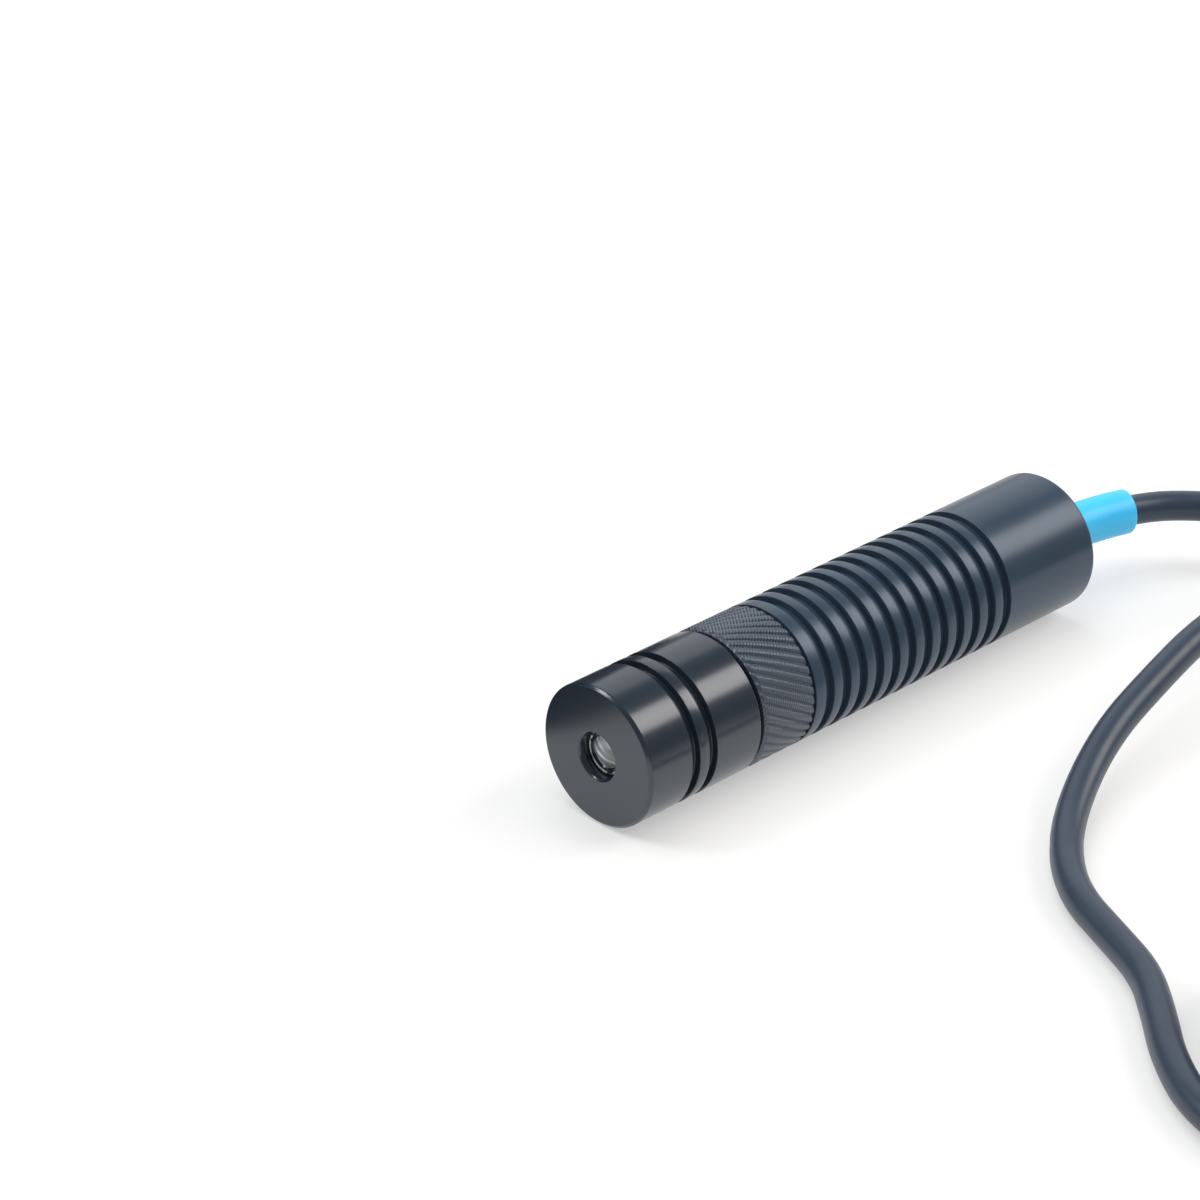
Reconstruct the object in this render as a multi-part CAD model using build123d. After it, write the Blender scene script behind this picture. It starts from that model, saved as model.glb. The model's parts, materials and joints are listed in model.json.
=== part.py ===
from build123d import *
from math import asin, atan2, cos, degrees, pi, radians, sin, sqrt, tan
import os

# Laser diode module lying on its side, in millimetres.
# X runs along the beam axis from the front face, at -X, to the tail, at +X. Z is up, and z = 0 is the
# surface that the module lies on. A station is a distance behind the front face.

# Module as a whole
body_diameter = 16.0
overrun = 1.0
fit_gap = 0.02
full_turn = 360.0

# Head that carries the lens
head_length = 16.1
head_front_chamfer = 0.35
head_rear_chamfer = 0.15
grip_groove_station = 6.0
grip_groove_width = 1.15
grip_groove_pitch = 2.5
grip_groove_depth = 0.8
grip_groove_count = 2
aperture_diameter = 5.2
aperture_chamfer = 0.2
front_wall = 1.3
spigot_length = 7.9
spigot_wall = 1.15
spigot_end_gap = 2.0
head_thread_gap = 0.05

# Lens and its retaining ring
lens_diameter = 7.0
lens_edge_thickness = 1.6
lens_crown_height = 0.7
lens_crown_gap = 0.1
lens_fit_gap = 0.03
retainer_length = 1.5
retainer_bore_diameter = 5.8
retainer_thread_step = 0.27
retainer_thread_run = 1.5
retainer_slot_width = 0.8
retainer_slot_depth = 0.6

# Square rubber ring round the spigot
ring_groove_width = 1.3
ring_groove_depth = 0.75
ring_groove_from_end = 1.5
ring_gap = 0.03
ring_side_gap = 0.2

# Barrel
parting_gap = 0.4
barrel_front_chamfer_length = 0.7
barrel_front_chamfer_depth = 0.45
knurl_length = 7.6
knurl_count = 42
knurl_depth = 0.25
knurl_land_share = 0.62
knurl_helix_angle = 30.6
knurl_core_step = 0.6
relief_width = 0.4
relief_depth = 0.4
first_land_length = 1.5
cooling_groove_count = 12
cooling_groove_pitch = 2.58
cooling_groove_width = 1.28
cooling_groove_depth = 0.7
cooling_groove_wall = 0.9
tail_length = 14.34
rear_edge_radius = 0.5

# Diode mount
mount_flange_length = 5.0
nose_length = 7.8
nose_wall = 1.15
nose_gap = 0.15
diode_pocket_station = 1.7
diode_thread_diameter = 6.6
diode_retainer_length = 1.5
diode_retainer_bore = 4.2
pin_bore_diameter = 3.8
pin_bore_length = 2.5
tongue_bore_diameter = 6.0
spanner_slot_width = 0.7
spanner_slot_depth = 0.5

# Laser diode can
diode_base_diameter = 5.6
diode_base_thickness = 1.2
diode_cap_diameter = 3.55
diode_cap_height = 2.3
diode_cap_wall = 0.2
diode_cap_flange_diameter = 4.1
diode_opening_diameter = 1.6
diode_window_thickness = 0.25
diode_window_gap = 0.05
diode_post_width = 1.2
diode_post_height = 1.0
diode_post_length = 1.3
pin_diameter = 0.45
pin_circle_radius = 1.27
pin_length = 6.5

# Driver board, with the distances between its edges, the insulator's and the diode mount's
board_length = 23.4
board_shoulder_inset = 1.0
board_edge_gap = 0.1
tongue_width = 4.2
tongue_gap = 3.5
insulator_thickness = 0.4
insulator_gap = 0.6
insulator_overhang = 1.6

# Parts on the board, each placed by the distance of its middle from the board's front shoulder
trimmer_length = 3.8
trimmer_width = 3.6
trimmer_height = 1.2
trimmer_knob_diameter = 2.6
trimmer_knob_height = 0.5
trimmer_slot_width = 0.5
trimmer_setback = 3.2
chip_length = 5.0
chip_width = 4.0
chip_height = 1.5
chip_setback = 8.4
chip_edge = 0.2
transistor_length = 2.6
transistor_width = 4.5
transistor_height = 1.5
transistor_setback = 12.9
transistor_tab_length = 0.9
transistor_tab_height = 0.4
inductor_size = 4.4
inductor_height = 1.9
inductor_corner = 0.8
inductor_setback = 18.2
capacitor_length = 3.2
capacitor_width = 1.6
capacitor_height = 1.6
capacitor_setback = 6.0
capacitor_pitch = 9.0
capacitor_count = 2
resistor_length = 2.0
resistor_width = 1.25
resistor_height = 0.5
resistor_setback = 8.0
resistor_pitch = 3.0
resistor_count = 3
resistor_offset = 2.4

# Rear cap and sleeve
cap_thickness = 2.5
cap_recess = 0.5
cap_hole_gap = 0.06
sleeve_diameter = 5.2
sleeve_inner_end = 4.5
sleeve_reach = 14.3

# Lead
lead_diameter = 3.5
lead_inner_end = 6.0
lead_floor_gap = 0.05
core_diameter = 1.0
core_offset = 0.75
core_straight = 2.0
pad_offset = 1.5
pad_length = 2.2
arc_share = 0.45

# Coil of the lead's spare length
coil_centre = (-5.3, -88.0)
coil_middle_diameter = 38.5
coil_columns = 3
coil_layers = 2
coil_corner_share = 0.58
coil_entry_angle = 205.0
coil_exit_angle = 330.0
tie_width = 5.0
tie_thickness = 0.6
tie_gap = 0.05
tie_angle = 262.0
tie_corner_share = 0.75

# Socket at the end of the lead
socket_start = (35.8, -79.8)
socket_direction = 60.0
socket_lead_run = 7.0
socket_diameter = 9.6
socket_length = 19.0
socket_edge = 0.6
socket_waist_diameter = 6.4
socket_waist_length = 1.2
relief_sleeve_length = 8.0
relief_front_diameter = 6.0
relief_rear_diameter = 4.6
relief_ring_count = 3
relief_ring_width = 0.8
relief_ring_depth = 0.5
contact_bore_diameter = 5.6
contact_wall = 0.3
contact_depth = 9.5
contact_pin_diameter = 2.1
contact_pin_recess = 0.6
insulator_disc_thickness = 3.0

# Radii, from the diode's thread outwards through the nose, the spigot and the barrel
body_radius = body_diameter / 2
axis_height = body_radius
nose_radius = diode_thread_diameter / 2 + nose_wall
head_bore_radius = nose_radius + nose_gap
spigot_radius = head_bore_radius + spigot_wall
front_bore_radius = spigot_radius + head_thread_gap
rear_bore_radius = body_radius - cooling_groove_depth - cooling_groove_wall

# Stations along the outside, from the head to the tail
barrel_station = head_length + parting_gap
knurl_end = barrel_station + knurl_length
relief_end = knurl_end + relief_width
first_cooling_groove = relief_end + first_land_length
last_cooling_groove = first_cooling_groove + (cooling_groove_count - 1) * cooling_groove_pitch
overall_length = last_cooling_groove + cooling_groove_width + tail_length
half_length = overall_length / 2

# Stations inside, from the spigot to the board's rear edge
spigot_end = head_length + spigot_length
shoulder_station = spigot_end + spigot_end_gap
flange_end = shoulder_station + mount_flange_length
nose_front = shoulder_station - nose_length
pocket_front = nose_front + diode_pocket_station
pocket_rear = pocket_front + diode_base_thickness
tongue_front_station = pocket_rear + tongue_gap
insulator_front_station = flange_end + insulator_gap
board_shoulder_station = insulator_front_station + board_shoulder_inset
board_rear_station = board_shoulder_station + board_length
insulator_rear_station = board_rear_station + insulator_overhang

# The lead, the board's section, the coil and the socket
lead_radius = lead_diameter / 2
lead_rest_height = lead_radius + lead_floor_gap
sleeve_radius = sleeve_diameter / 2
board_top = -pin_diameter / 2
board_thickness = pin_circle_radius - pin_diameter
board_bottom = board_top - board_thickness
insulator_radius = rear_bore_radius - fit_gap
insulator_bore = insulator_radius - insulator_thickness
board_half_width = sqrt((insulator_bore - board_edge_gap) ** 2 - board_bottom**2)
coil_bottom = tie_thickness + tie_gap + lead_floor_gap
coil_middle_radius = coil_middle_diameter / 2
coil_half_width = coil_columns * lead_diameter / 2
coil_height = coil_layers * lead_diameter
coil_outer_turn = coil_middle_radius + coil_half_width - lead_radius
coil_first_layer = coil_bottom + lead_radius
coil_last_layer = coil_bottom + coil_height - lead_radius
socket_height = socket_diameter / 2 + lead_floor_gap
before_socket = (
    socket_start[0] - socket_lead_run * cos(radians(socket_direction)),
    socket_start[1] - socket_lead_run * sin(radians(socket_direction)),
)


def on_coil(angle, height):
    """A point on the coil's outer turn."""
    across = coil_centre[0] + coil_outer_turn * cos(radians(angle))
    along = coil_centre[1] + coil_outer_turn * sin(radians(angle))
    return (across, along, height)


# The lead's route from inside the tail to its coil. Its height falls from the beam axis to the floor.
tail_x = half_length - lead_inner_end
low = lead_rest_height
lead_route = [
    (tail_x, 0, axis_height),
    (38.2, 0, axis_height),
    (50.0, -2.25, axis_height),
    (55.5, -6.6, 8.1),
    (57.9, -12.5, 8.3),
    (57.3, -18.8, 8.5),
    (53.6, -24.1, 8.7),
    (47.7, -26.9, 8.9),
    (38.8, -26.4, 8.9),
    (29.0, -26.2, 8.3),
    (19.8, -27.0, 6.9),
    (11.0, -28.9, 5.1),
    (2.6, -32.1, 3.1),
    (-5.2, -36.5, 1.9),
    (-11.4, -42.6, low),
    (-14.2, -50.2, low),
    (-17.6, -57.0, low),
    (-23.1, -61.8, low),
    (-28.0, -66.8, low),
    (-31.4, -73.6, low),
    (-32.3, -81.6, 2.0),
    (-30.4, -89.8, 2.2),
    on_coil(coil_entry_angle, coil_first_layer),
]

# The short end of the lead from its coil to the socket
tail_route = [
    on_coil(coil_exit_angle, coil_last_layer),
    (17.9, -93.3, 5.8),
    (22.4, -90.2, 5.5),
    (27.8, -89.0, 5.2),
    (*before_socket, socket_height),
    (*socket_start, socket_height),
]


def turned(outline):
    """A solid turned about the beam axis, from the (station, radius) corners of its outline."""
    corners = [(station - half_length, radius) for station, radius in outline]
    profile = make_face(Polyline(*corners, close=True))
    return Pos(0, 0, axis_height) * revolve(profile, axis=Axis.X, revolution_arc=full_turn)


def on_axis(station, across=0, up=0):
    """The place at a station, moved across and up from the beam axis."""
    return Pos(station - half_length, across, axis_height + up)


def grooves(first, width, pitch, count, depth):
    """The outline corners of equal grooves round a body of full radius."""
    corners = []
    for number in range(count):
        start = first + number * pitch
        corners += [
            (start, body_radius),
            (start, body_radius - depth),
            (start + width, body_radius - depth),
            (start + width, body_radius),
        ]
    return corners


# Optical head
lens_seat_radius = lens_diameter / 2 + lens_fit_gap
lens_rear = front_wall + lens_edge_thickness
retainer_thread_radius = lens_seat_radius + retainer_thread_step
retainer_thread_end = lens_rear + retainer_length + retainer_thread_run
ring_groove_rear = spigot_end - ring_groove_from_end
ring_groove_front = ring_groove_rear - ring_groove_width
ring_groove_radius = spigot_radius - ring_groove_depth


def front_head():
    """The head with its aperture, grip grooves and threaded spigot."""
    aperture = aperture_diameter / 2
    outline = [(0, body_radius - head_front_chamfer), (head_front_chamfer, body_radius)]
    outline += grooves(
        grip_groove_station,
        grip_groove_width,
        grip_groove_pitch,
        grip_groove_count,
        grip_groove_depth,
    )
    outline += [
        (head_length - head_rear_chamfer, body_radius),
        (head_length, body_radius - head_rear_chamfer),
        (head_length, spigot_radius),
        (ring_groove_front, spigot_radius),
        (ring_groove_front, ring_groove_radius),
        (ring_groove_rear, ring_groove_radius),
        (ring_groove_rear, spigot_radius),
        (spigot_end, spigot_radius),
        (spigot_end, head_bore_radius),
        (retainer_thread_end, head_bore_radius),
        (retainer_thread_end, retainer_thread_radius),
        (lens_rear, retainer_thread_radius),
        (lens_rear, lens_seat_radius),
        (front_wall, lens_seat_radius),
        (front_wall, aperture),
        (aperture_chamfer, aperture),
        (0, aperture + aperture_chamfer),
    ]
    return turned(outline)


def lens():
    """The collimating lens, with its domed face forward in the aperture."""
    rim = front_wall - half_length
    rear = lens_rear - half_length
    dome = aperture_diameter / 2 - lens_crown_gap
    apex = rim - lens_crown_height
    dome_radius = (dome**2 + lens_crown_height**2) / (2 * lens_crown_height)
    half_angle = asin(dome / dome_radius) / 2
    middle = (
        apex + dome_radius * (1 - cos(half_angle)),
        dome_radius * sin(half_angle),
    )
    crown = ThreePointArc((apex, 0), middle, (rim, dome))
    rest = Polyline((rim, dome), (rim, lens_diameter / 2), (rear, lens_diameter / 2), (rear, 0), (apex, 0))
    profile = make_face([crown, rest])
    return Pos(0, 0, axis_height) * revolve(profile, axis=Axis.X, revolution_arc=full_turn)


def slotted_ring(front, length, outer, inner, slot_width, slot_depth, slot_face):
    """A threaded retaining ring with one spanner slot across a face."""
    ring = turned([(front, outer), (front + length, outer), (front + length, inner), (front, inner)])
    slot = Box(slot_depth, 2 * outer + overrun, slot_width)
    return ring - on_axis(slot_face) * slot


def lens_retainer():
    """The ring that holds the lens from behind."""
    rear_face = lens_rear + retainer_length - retainer_slot_depth / 2
    return slotted_ring(
        lens_rear,
        retainer_length,
        retainer_thread_radius - fit_gap,
        retainer_bore_diameter / 2,
        retainer_slot_width,
        retainer_slot_depth,
        rear_face,
    )


def friction_ring():
    """The square rubber ring between the spigot and the barrel's bore."""
    inner = ring_groove_radius + ring_gap
    outer = front_bore_radius - ring_gap
    front = ring_groove_front + ring_side_gap
    rear = ring_groove_rear - ring_side_gap
    return turned([(front, inner), (front, outer), (rear, outer), (rear, inner)])


# Barrel
knurl_core_radius = body_radius - knurl_core_step
knurl_ring_bore = (knurl_core_radius + front_bore_radius) / 2


def knurl_section():
    """The toothed ring that the helical knurl has as its section."""
    step = full_turn / knurl_count
    root_radius = body_radius - knurl_depth
    corners = []
    for number in range(knurl_count):
        start = number * step
        for angle, radius in (
            (start, body_radius),
            (start + step * knurl_land_share, body_radius),
            (start + step * (1 + knurl_land_share) / 2, root_radius),
        ):
            corners.append((radius * cos(radians(angle)), radius * sin(radians(angle))))
    teeth = make_face(Polyline(*corners, close=True))
    return teeth - Circle(knurl_ring_bore)


def knurl():
    """The helical knurl, cut back at its front edge by the barrel's chamfer."""
    twist = degrees(knurl_length * tan(radians(knurl_helix_angle)) / body_radius)
    section = knurl_section()
    band = Solid.extrude_linear_with_rotation(section.face(), (0, 0, 0), (0, 0, knurl_length), twist)
    band = Pos(barrel_station - half_length, 0, axis_height) * Rot(0, 90, 0) * band
    limit = turned(
        [
            (barrel_station, 0),
            (barrel_station, body_radius - barrel_front_chamfer_depth),
            (barrel_station + barrel_front_chamfer_length, body_radius),
            (barrel_station + barrel_front_chamfer_length, body_radius + overrun),
            (knurl_end, body_radius + overrun),
            (knurl_end, 0),
        ]
    )
    return band & limit


def barrel():
    """The barrel with its knurl, cooling grooves, stepped bore and rounded rear edge."""
    outline = [
        (barrel_station, knurl_core_radius),
        (knurl_end, knurl_core_radius),
        (knurl_end, body_radius - relief_depth),
        (relief_end, body_radius - relief_depth),
        (relief_end, body_radius),
    ]
    outline += grooves(
        first_cooling_groove,
        cooling_groove_width,
        cooling_groove_pitch,
        cooling_groove_count,
        cooling_groove_depth,
    )
    outline += [
        (overall_length, body_radius),
        (overall_length, rear_bore_radius),
        (shoulder_station, rear_bore_radius),
        (shoulder_station, front_bore_radius),
        (barrel_station, front_bore_radius),
    ]
    tube = turned(outline)
    rear_edges = tube.edges().group_by(Axis.X)[-1].sort_by(SortBy.RADIUS)
    tube = fillet(rear_edges[-1], rear_edge_radius)
    return tube + knurl()


# Diode and its mount
def diode_mount():
    """The brass heat sink, with the nose that reaches into the head."""
    flange_radius = rear_bore_radius - fit_gap
    pin_bore_end = pocket_rear + pin_bore_length
    base_radius = diode_base_diameter / 2 + fit_gap
    return turned(
        [
            (nose_front, nose_radius),
            (shoulder_station, nose_radius),
            (shoulder_station, flange_radius),
            (flange_end, flange_radius),
            (flange_end, tongue_bore_diameter / 2),
            (pin_bore_end, tongue_bore_diameter / 2),
            (pin_bore_end, pin_bore_diameter / 2),
            (pocket_rear, pin_bore_diameter / 2),
            (pocket_rear, base_radius),
            (pocket_front, base_radius),
            (pocket_front, diode_thread_diameter / 2),
            (nose_front, diode_thread_diameter / 2),
        ]
    )


def diode_retainer():
    """The slotted ring that clamps the diode's base in the nose."""
    front = pocket_front - diode_retainer_length
    return slotted_ring(
        front,
        diode_retainer_length,
        diode_thread_diameter / 2 - fit_gap,
        diode_retainer_bore / 2,
        spanner_slot_width,
        spanner_slot_depth,
        front + spanner_slot_depth / 2,
    )


def diode_base():
    """The diode's stem: a disc with the post that carries the chip."""
    radius = diode_base_diameter / 2
    disc = turned([(pocket_front, 0), (pocket_front, radius), (pocket_rear, radius), (pocket_rear, 0)])
    post = Box(diode_post_length + fit_gap, diode_post_width, diode_post_height)
    post_station = pocket_front - diode_post_length / 2
    return disc + on_axis(post_station, 0, -diode_post_height / 2) * post


def diode_cap():
    """The diode's drawn metal cap, open at the window."""
    radius = diode_cap_diameter / 2
    front = pocket_front - diode_cap_height
    flange = diode_cap_flange_diameter / 2
    return turned(
        [
            (front, diode_opening_diameter / 2),
            (front, radius),
            (pocket_front - diode_cap_wall, radius),
            (pocket_front - diode_cap_wall, flange),
            (pocket_front, flange),
            (pocket_front, radius - diode_cap_wall),
            (front + diode_cap_wall, radius - diode_cap_wall),
            (front + diode_cap_wall, diode_opening_diameter / 2),
        ]
    )


def diode_window():
    """The glass disc sealed behind the cap's opening."""
    front = pocket_front - diode_cap_height + diode_cap_wall
    radius = diode_cap_diameter / 2 - diode_cap_wall - diode_window_gap
    rear = front + diode_window_thickness
    return turned([(front, 0), (front, radius), (rear, radius), (rear, 0)])


def diode_pins():
    """The diode's three pins, two above the board and one below it."""
    pin = Rot(0, 90, 0) * Cylinder(pin_diameter / 2, pin_length)
    station = pocket_rear + pin_length / 2
    places = [(-pin_circle_radius, 0), (pin_circle_radius, 0), (0, -pin_circle_radius)]
    return Compound(children=[on_axis(station, across, up) * pin for across, up in places])


# Driver
def driver_board():
    """The board, with a narrow tongue between the diode's pins."""
    tongue_x = tongue_front_station - half_length
    shoulder_x = board_shoulder_station - half_length
    rear_x = board_rear_station - half_length
    outline = Polyline(
        (tongue_x, -tongue_width / 2),
        (shoulder_x, -tongue_width / 2),
        (shoulder_x, -board_half_width),
        (rear_x, -board_half_width),
        (rear_x, board_half_width),
        (shoulder_x, board_half_width),
        (shoulder_x, tongue_width / 2),
        (tongue_x, tongue_width / 2),
        close=True,
    )
    plate = extrude(make_face(outline), board_thickness)
    return Pos(0, 0, axis_height + board_bottom) * plate


def on_board(setback, height):
    """The place of a part of that height standing on the middle of the board's upper face."""
    return on_axis(board_shoulder_station + setback, 0, board_top + height / 2)


def under_board(setback, across, height):
    """The place of a part of that height hanging on the board's lower face."""
    return on_axis(board_shoulder_station + setback, across, board_bottom - height / 2)


def driver_chip():
    """The driver's chip in its moulded case."""
    case = Box(chip_length, chip_width, chip_height)
    case = chamfer(case.edges().filter_by(Axis.Z), chip_edge)
    return on_board(chip_setback, chip_height) * case


def power_transistor():
    """The transistor that feeds the diode, with its soldered tab."""
    case = on_board(transistor_setback, transistor_height) * Box(
        transistor_length, transistor_width, transistor_height
    )
    tab_setback = transistor_setback + (transistor_length + transistor_tab_length) / 2
    tab = on_board(tab_setback, transistor_tab_height) * Box(
        transistor_tab_length + fit_gap, transistor_width / 2, transistor_tab_height
    )
    return case + tab


def inductor():
    """The driver's wound inductor in its square case."""
    case = Box(inductor_size, inductor_size, inductor_height)
    case = fillet(case.edges().filter_by(Axis.Z), inductor_corner)
    return on_board(inductor_setback, inductor_height) * case


def current_trimmer():
    """The trimmer that sets the diode's current, with its slotted knob."""
    case = Box(trimmer_length, trimmer_width, trimmer_height)
    knob = Cylinder(trimmer_knob_diameter / 2, trimmer_knob_height)
    slot = Box(trimmer_knob_diameter + overrun, trimmer_slot_width, trimmer_knob_height / 2)
    knob = knob - Pos(0, 0, trimmer_knob_height / 4) * slot
    knob = Pos(0, 0, (trimmer_height + trimmer_knob_height) / 2) * knob
    return on_board(trimmer_setback, trimmer_height) * (case + knob)


def filter_capacitors():
    """The filter capacitors in a row under the board."""
    block = Box(capacitor_length, capacitor_width, capacitor_height)
    setbacks = [capacitor_setback + number * capacitor_pitch for number in range(capacitor_count)]
    places = [under_board(setback, 0, capacitor_height) for setback in setbacks]
    return Compound(children=[place * block for place in places])


def resistors():
    """The resistors in a row under the board, beside the capacitors."""
    block = Box(resistor_length, resistor_width, resistor_height)
    setbacks = [resistor_setback + number * resistor_pitch for number in range(resistor_count)]
    places = [under_board(setback, resistor_offset, resistor_height) for setback in setbacks]
    return Compound(children=[place * block for place in places])


def board_insulator():
    """The thin plastic tube between the board and the barrel."""
    return turned(
        [
            (insulator_front_station, insulator_radius),
            (insulator_rear_station, insulator_radius),
            (insulator_rear_station, insulator_bore),
            (insulator_front_station, insulator_bore),
        ]
    )


# Routes
def arc_radii(points):
    """The radius at each corner of a route: a share of the shorter run over the tangent of half the turn."""
    radii = []
    for before, corner, after in zip(points, points[1:], points[2:]):
        arriving = Vector(corner) - Vector(before)
        leaving = Vector(after) - Vector(corner)
        half_turn = radians(arriving.get_angle(leaving)) / 2
        radii.append(arc_share * min(arriving.length, leaving.length) / tan(half_turn))
    return radii


def path_of(points):
    """Straight runs joined by tangent arcs."""
    return FilletPolyline(*points, radius=arc_radii(points))


def rod_along(points, radius):
    """A round solid that follows a route."""
    path = path_of(points)
    start = Plane(origin=path @ 0, z_dir=path % 0)
    return sweep(start * Circle(radius), path=path)


def supply_wire(side):
    """One core, from the lead's cut end to its pad on the board."""
    pad_station = board_rear_station - pad_length
    pad_x = pad_station - half_length
    end_x = tail_x - fit_gap
    resting = axis_height + board_top + core_diameter / 2
    points = [
        (end_x, side * core_offset, axis_height),
        (end_x - core_straight, side * core_offset, axis_height),
        (pad_x + core_straight, side * pad_offset, resting),
        (pad_x, side * pad_offset, resting),
    ]
    return rod_along(points, core_diameter / 2)


# Tail
def rear_cap():
    """The disc pressed into the tail, with the hole for the sleeve."""
    rear = overall_length - cap_recess
    front = rear - cap_thickness
    hole = sleeve_radius + cap_hole_gap
    outer = rear_bore_radius - fit_gap
    return turned([(front, outer), (rear, outer), (rear, hole), (front, hole)])


def cable_sleeve():
    """The coloured sleeve shrunk on the lead, which bends a little outside the cap."""
    path = path_of(lead_route[:4])
    start = Plane(origin=path @ 0, z_dir=path % 0)
    wall = Circle(sleeve_radius) - Circle(lead_radius + fit_gap)
    tube = sweep(start * wall, path=path)
    bend, aim = Vector(lead_route[1]), Vector(lead_route[2])
    heading = degrees(atan2(aim.Y - bend.Y, aim.X - bend.X))
    inside = half_length - sleeve_inner_end
    outside = half_length + sleeve_reach - bend.X
    slice_length = inside - tail_x + overrun
    far_length = path.length
    inner_cut = Box(slice_length, sleeve_diameter + overrun, sleeve_diameter + overrun)
    outer_cut = Box(far_length, far_length, far_length)
    tube -= Pos(inside - slice_length / 2, 0, axis_height) * inner_cut
    return tube - Pos(*bend) * Rot(0, 0, heading) * Pos(outside + far_length / 2, 0, 0) * outer_cut


def lead():
    """The lead from inside the tail to its coil."""
    return rod_along(lead_route, lead_radius)


def lead_coil():
    """The outer shape of the coil that the lead's spare length is wound into."""
    section = Rectangle(2 * coil_half_width, coil_height)
    section = chamfer(section.vertices(), coil_corner_share * lead_radius)
    middle = coil_bottom + coil_height / 2
    section = Plane.XZ * Pos(coil_middle_radius, middle) * section
    ring = revolve(section, axis=Axis.Z, revolution_arc=full_turn)
    return Pos(*coil_centre, 0) * ring


def lead_tail():
    """The end of the lead between its coil and the socket."""
    return rod_along(tail_route, lead_radius)


def coil_tie():
    """The strap round the coil's bundle of turns, bent to the coil's own curve."""
    corner = tie_corner_share * lead_radius
    inner = RectangleRounded(2 * (coil_half_width + tie_gap), coil_height + 2 * tie_gap, corner)
    band = offset(inner, tie_thickness) - inner
    middle = coil_bottom + coil_height / 2
    section = Plane.XZ * Pos(coil_middle_radius, middle) * band
    arc = degrees(tie_width / coil_middle_radius)
    strap = revolve(section, axis=Axis.Z, revolution_arc=arc)
    return Pos(*coil_centre, 0) * Rot(0, 0, tie_angle) * strap


# Socket
def socket_place():
    """The socket's place: its axis starts at the end of the lead and lies along the floor."""
    return Pos(*tail_route[-1]) * Rot(0, 0, socket_direction)


def turned_on_lead(outline):
    """A solid turned about the socket's axis, from (distance, radius) corners."""
    profile = make_face(Polyline(*outline, close=True))
    return socket_place() * revolve(profile, axis=Axis.X, revolution_arc=full_turn)


socket_front = relief_sleeve_length + socket_waist_length + socket_length
contact_start = socket_front - contact_depth


def socket_body():
    """The moulded case with its tapered strain relief and the bore for a plug."""
    outer = socket_diameter / 2
    contact_outer = contact_bore_diameter / 2 + contact_wall + fit_gap
    body_start = relief_sleeve_length + socket_waist_length
    taper = (relief_front_diameter - relief_rear_diameter) / 2 / relief_sleeve_length
    ring_pitch = relief_sleeve_length / (relief_ring_count + 1)
    outline = [(0, relief_rear_diameter / 2)]
    for number in range(relief_ring_count):
        start = ring_pitch * (number + 1) - relief_ring_width / 2
        end = start + relief_ring_width
        start_radius = relief_rear_diameter / 2 + taper * start
        end_radius = relief_rear_diameter / 2 + taper * end
        outline += [
            (start, start_radius),
            (start, start_radius - relief_ring_depth),
            (end, end_radius - relief_ring_depth),
            (end, end_radius),
        ]
    outline += [
        (relief_sleeve_length, relief_front_diameter / 2),
        (relief_sleeve_length, socket_waist_diameter / 2),
        (body_start, socket_waist_diameter / 2),
        (body_start, outer - socket_edge),
        (body_start + socket_edge, outer),
        (socket_front - socket_edge, outer),
        (socket_front, outer - socket_edge),
        (socket_front, contact_outer),
        (contact_start - insulator_disc_thickness, contact_outer),
        (contact_start - insulator_disc_thickness, 0),
        (0, 0),
    ]
    return turned_on_lead(outline)


def socket_contact():
    """The metal sleeve that lines the socket's bore."""
    inner = contact_bore_diameter / 2
    outer = inner + contact_wall
    return turned_on_lead(
        [(contact_start, outer), (socket_front, outer), (socket_front, inner), (contact_start, inner)]
    )


def socket_pin():
    """The centre pin, which stops a little behind the socket's face."""
    radius = contact_pin_diameter / 2
    front = socket_front - contact_pin_recess
    return turned_on_lead([(contact_start, 0), (contact_start, radius), (front, radius), (front, 0)])


def socket_insulator():
    """The disc that carries the pin and the contact sleeve."""
    outer = contact_bore_diameter / 2 + contact_wall
    start = contact_start - insulator_disc_thickness
    return turned_on_lead([(start, 0), (start, outer), (contact_start, outer), (contact_start, 0)])


def pieces():
    """Every piece of the module under the name of its node."""
    return {
        "front_head": front_head(),
        "lens": lens(),
        "lens_retainer": lens_retainer(),
        "friction_ring": friction_ring(),
        "barrel": barrel(),
        "diode_mount": diode_mount(),
        "diode_retainer": diode_retainer(),
        "diode_base": diode_base(),
        "diode_cap": diode_cap(),
        "diode_window": diode_window(),
        "diode_pins": diode_pins(),
        "driver_board": driver_board(),
        "driver_chip": driver_chip(),
        "power_transistor": power_transistor(),
        "inductor": inductor(),
        "current_trimmer": current_trimmer(),
        "filter_capacitors": filter_capacitors(),
        "resistors": resistors(),
        "board_insulator": board_insulator(),
        "supply_wire_positive": supply_wire(1),
        "supply_wire_negative": supply_wire(-1),
        "rear_cap": rear_cap(),
        "cable_sleeve": cable_sleeve(),
        "lead": lead(),
        "lead_coil": lead_coil(),
        "lead_tail": lead_tail(),
        "coil_tie": coil_tie(),
        "socket_body": socket_body(),
        "socket_contact": socket_contact(),
        "socket_pin": socket_pin(),
        "socket_insulator": socket_insulator(),
    }


def report_route(name, points, solid):
    """Print a route's radii in diameters, and its volume against its section times its length."""
    path = path_of(points)
    shares = [round(radius / lead_diameter, 1) for radius in arc_radii(points)]
    expected = path.length * pi * lead_radius**2
    print(name, "length", round(path.length, 1), "radii in diameters", shares)
    print(name, "volume share", round(solid.volume / expected, 4))


os.makedirs("parts", exist_ok=True)
made = pieces()
for node, solid in made.items():
    export_step(solid, os.path.join("parts", node + ".step"))
report_route("lead", lead_route, made["lead"])
report_route("lead_tail", tail_route, made["lead_tail"])
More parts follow.
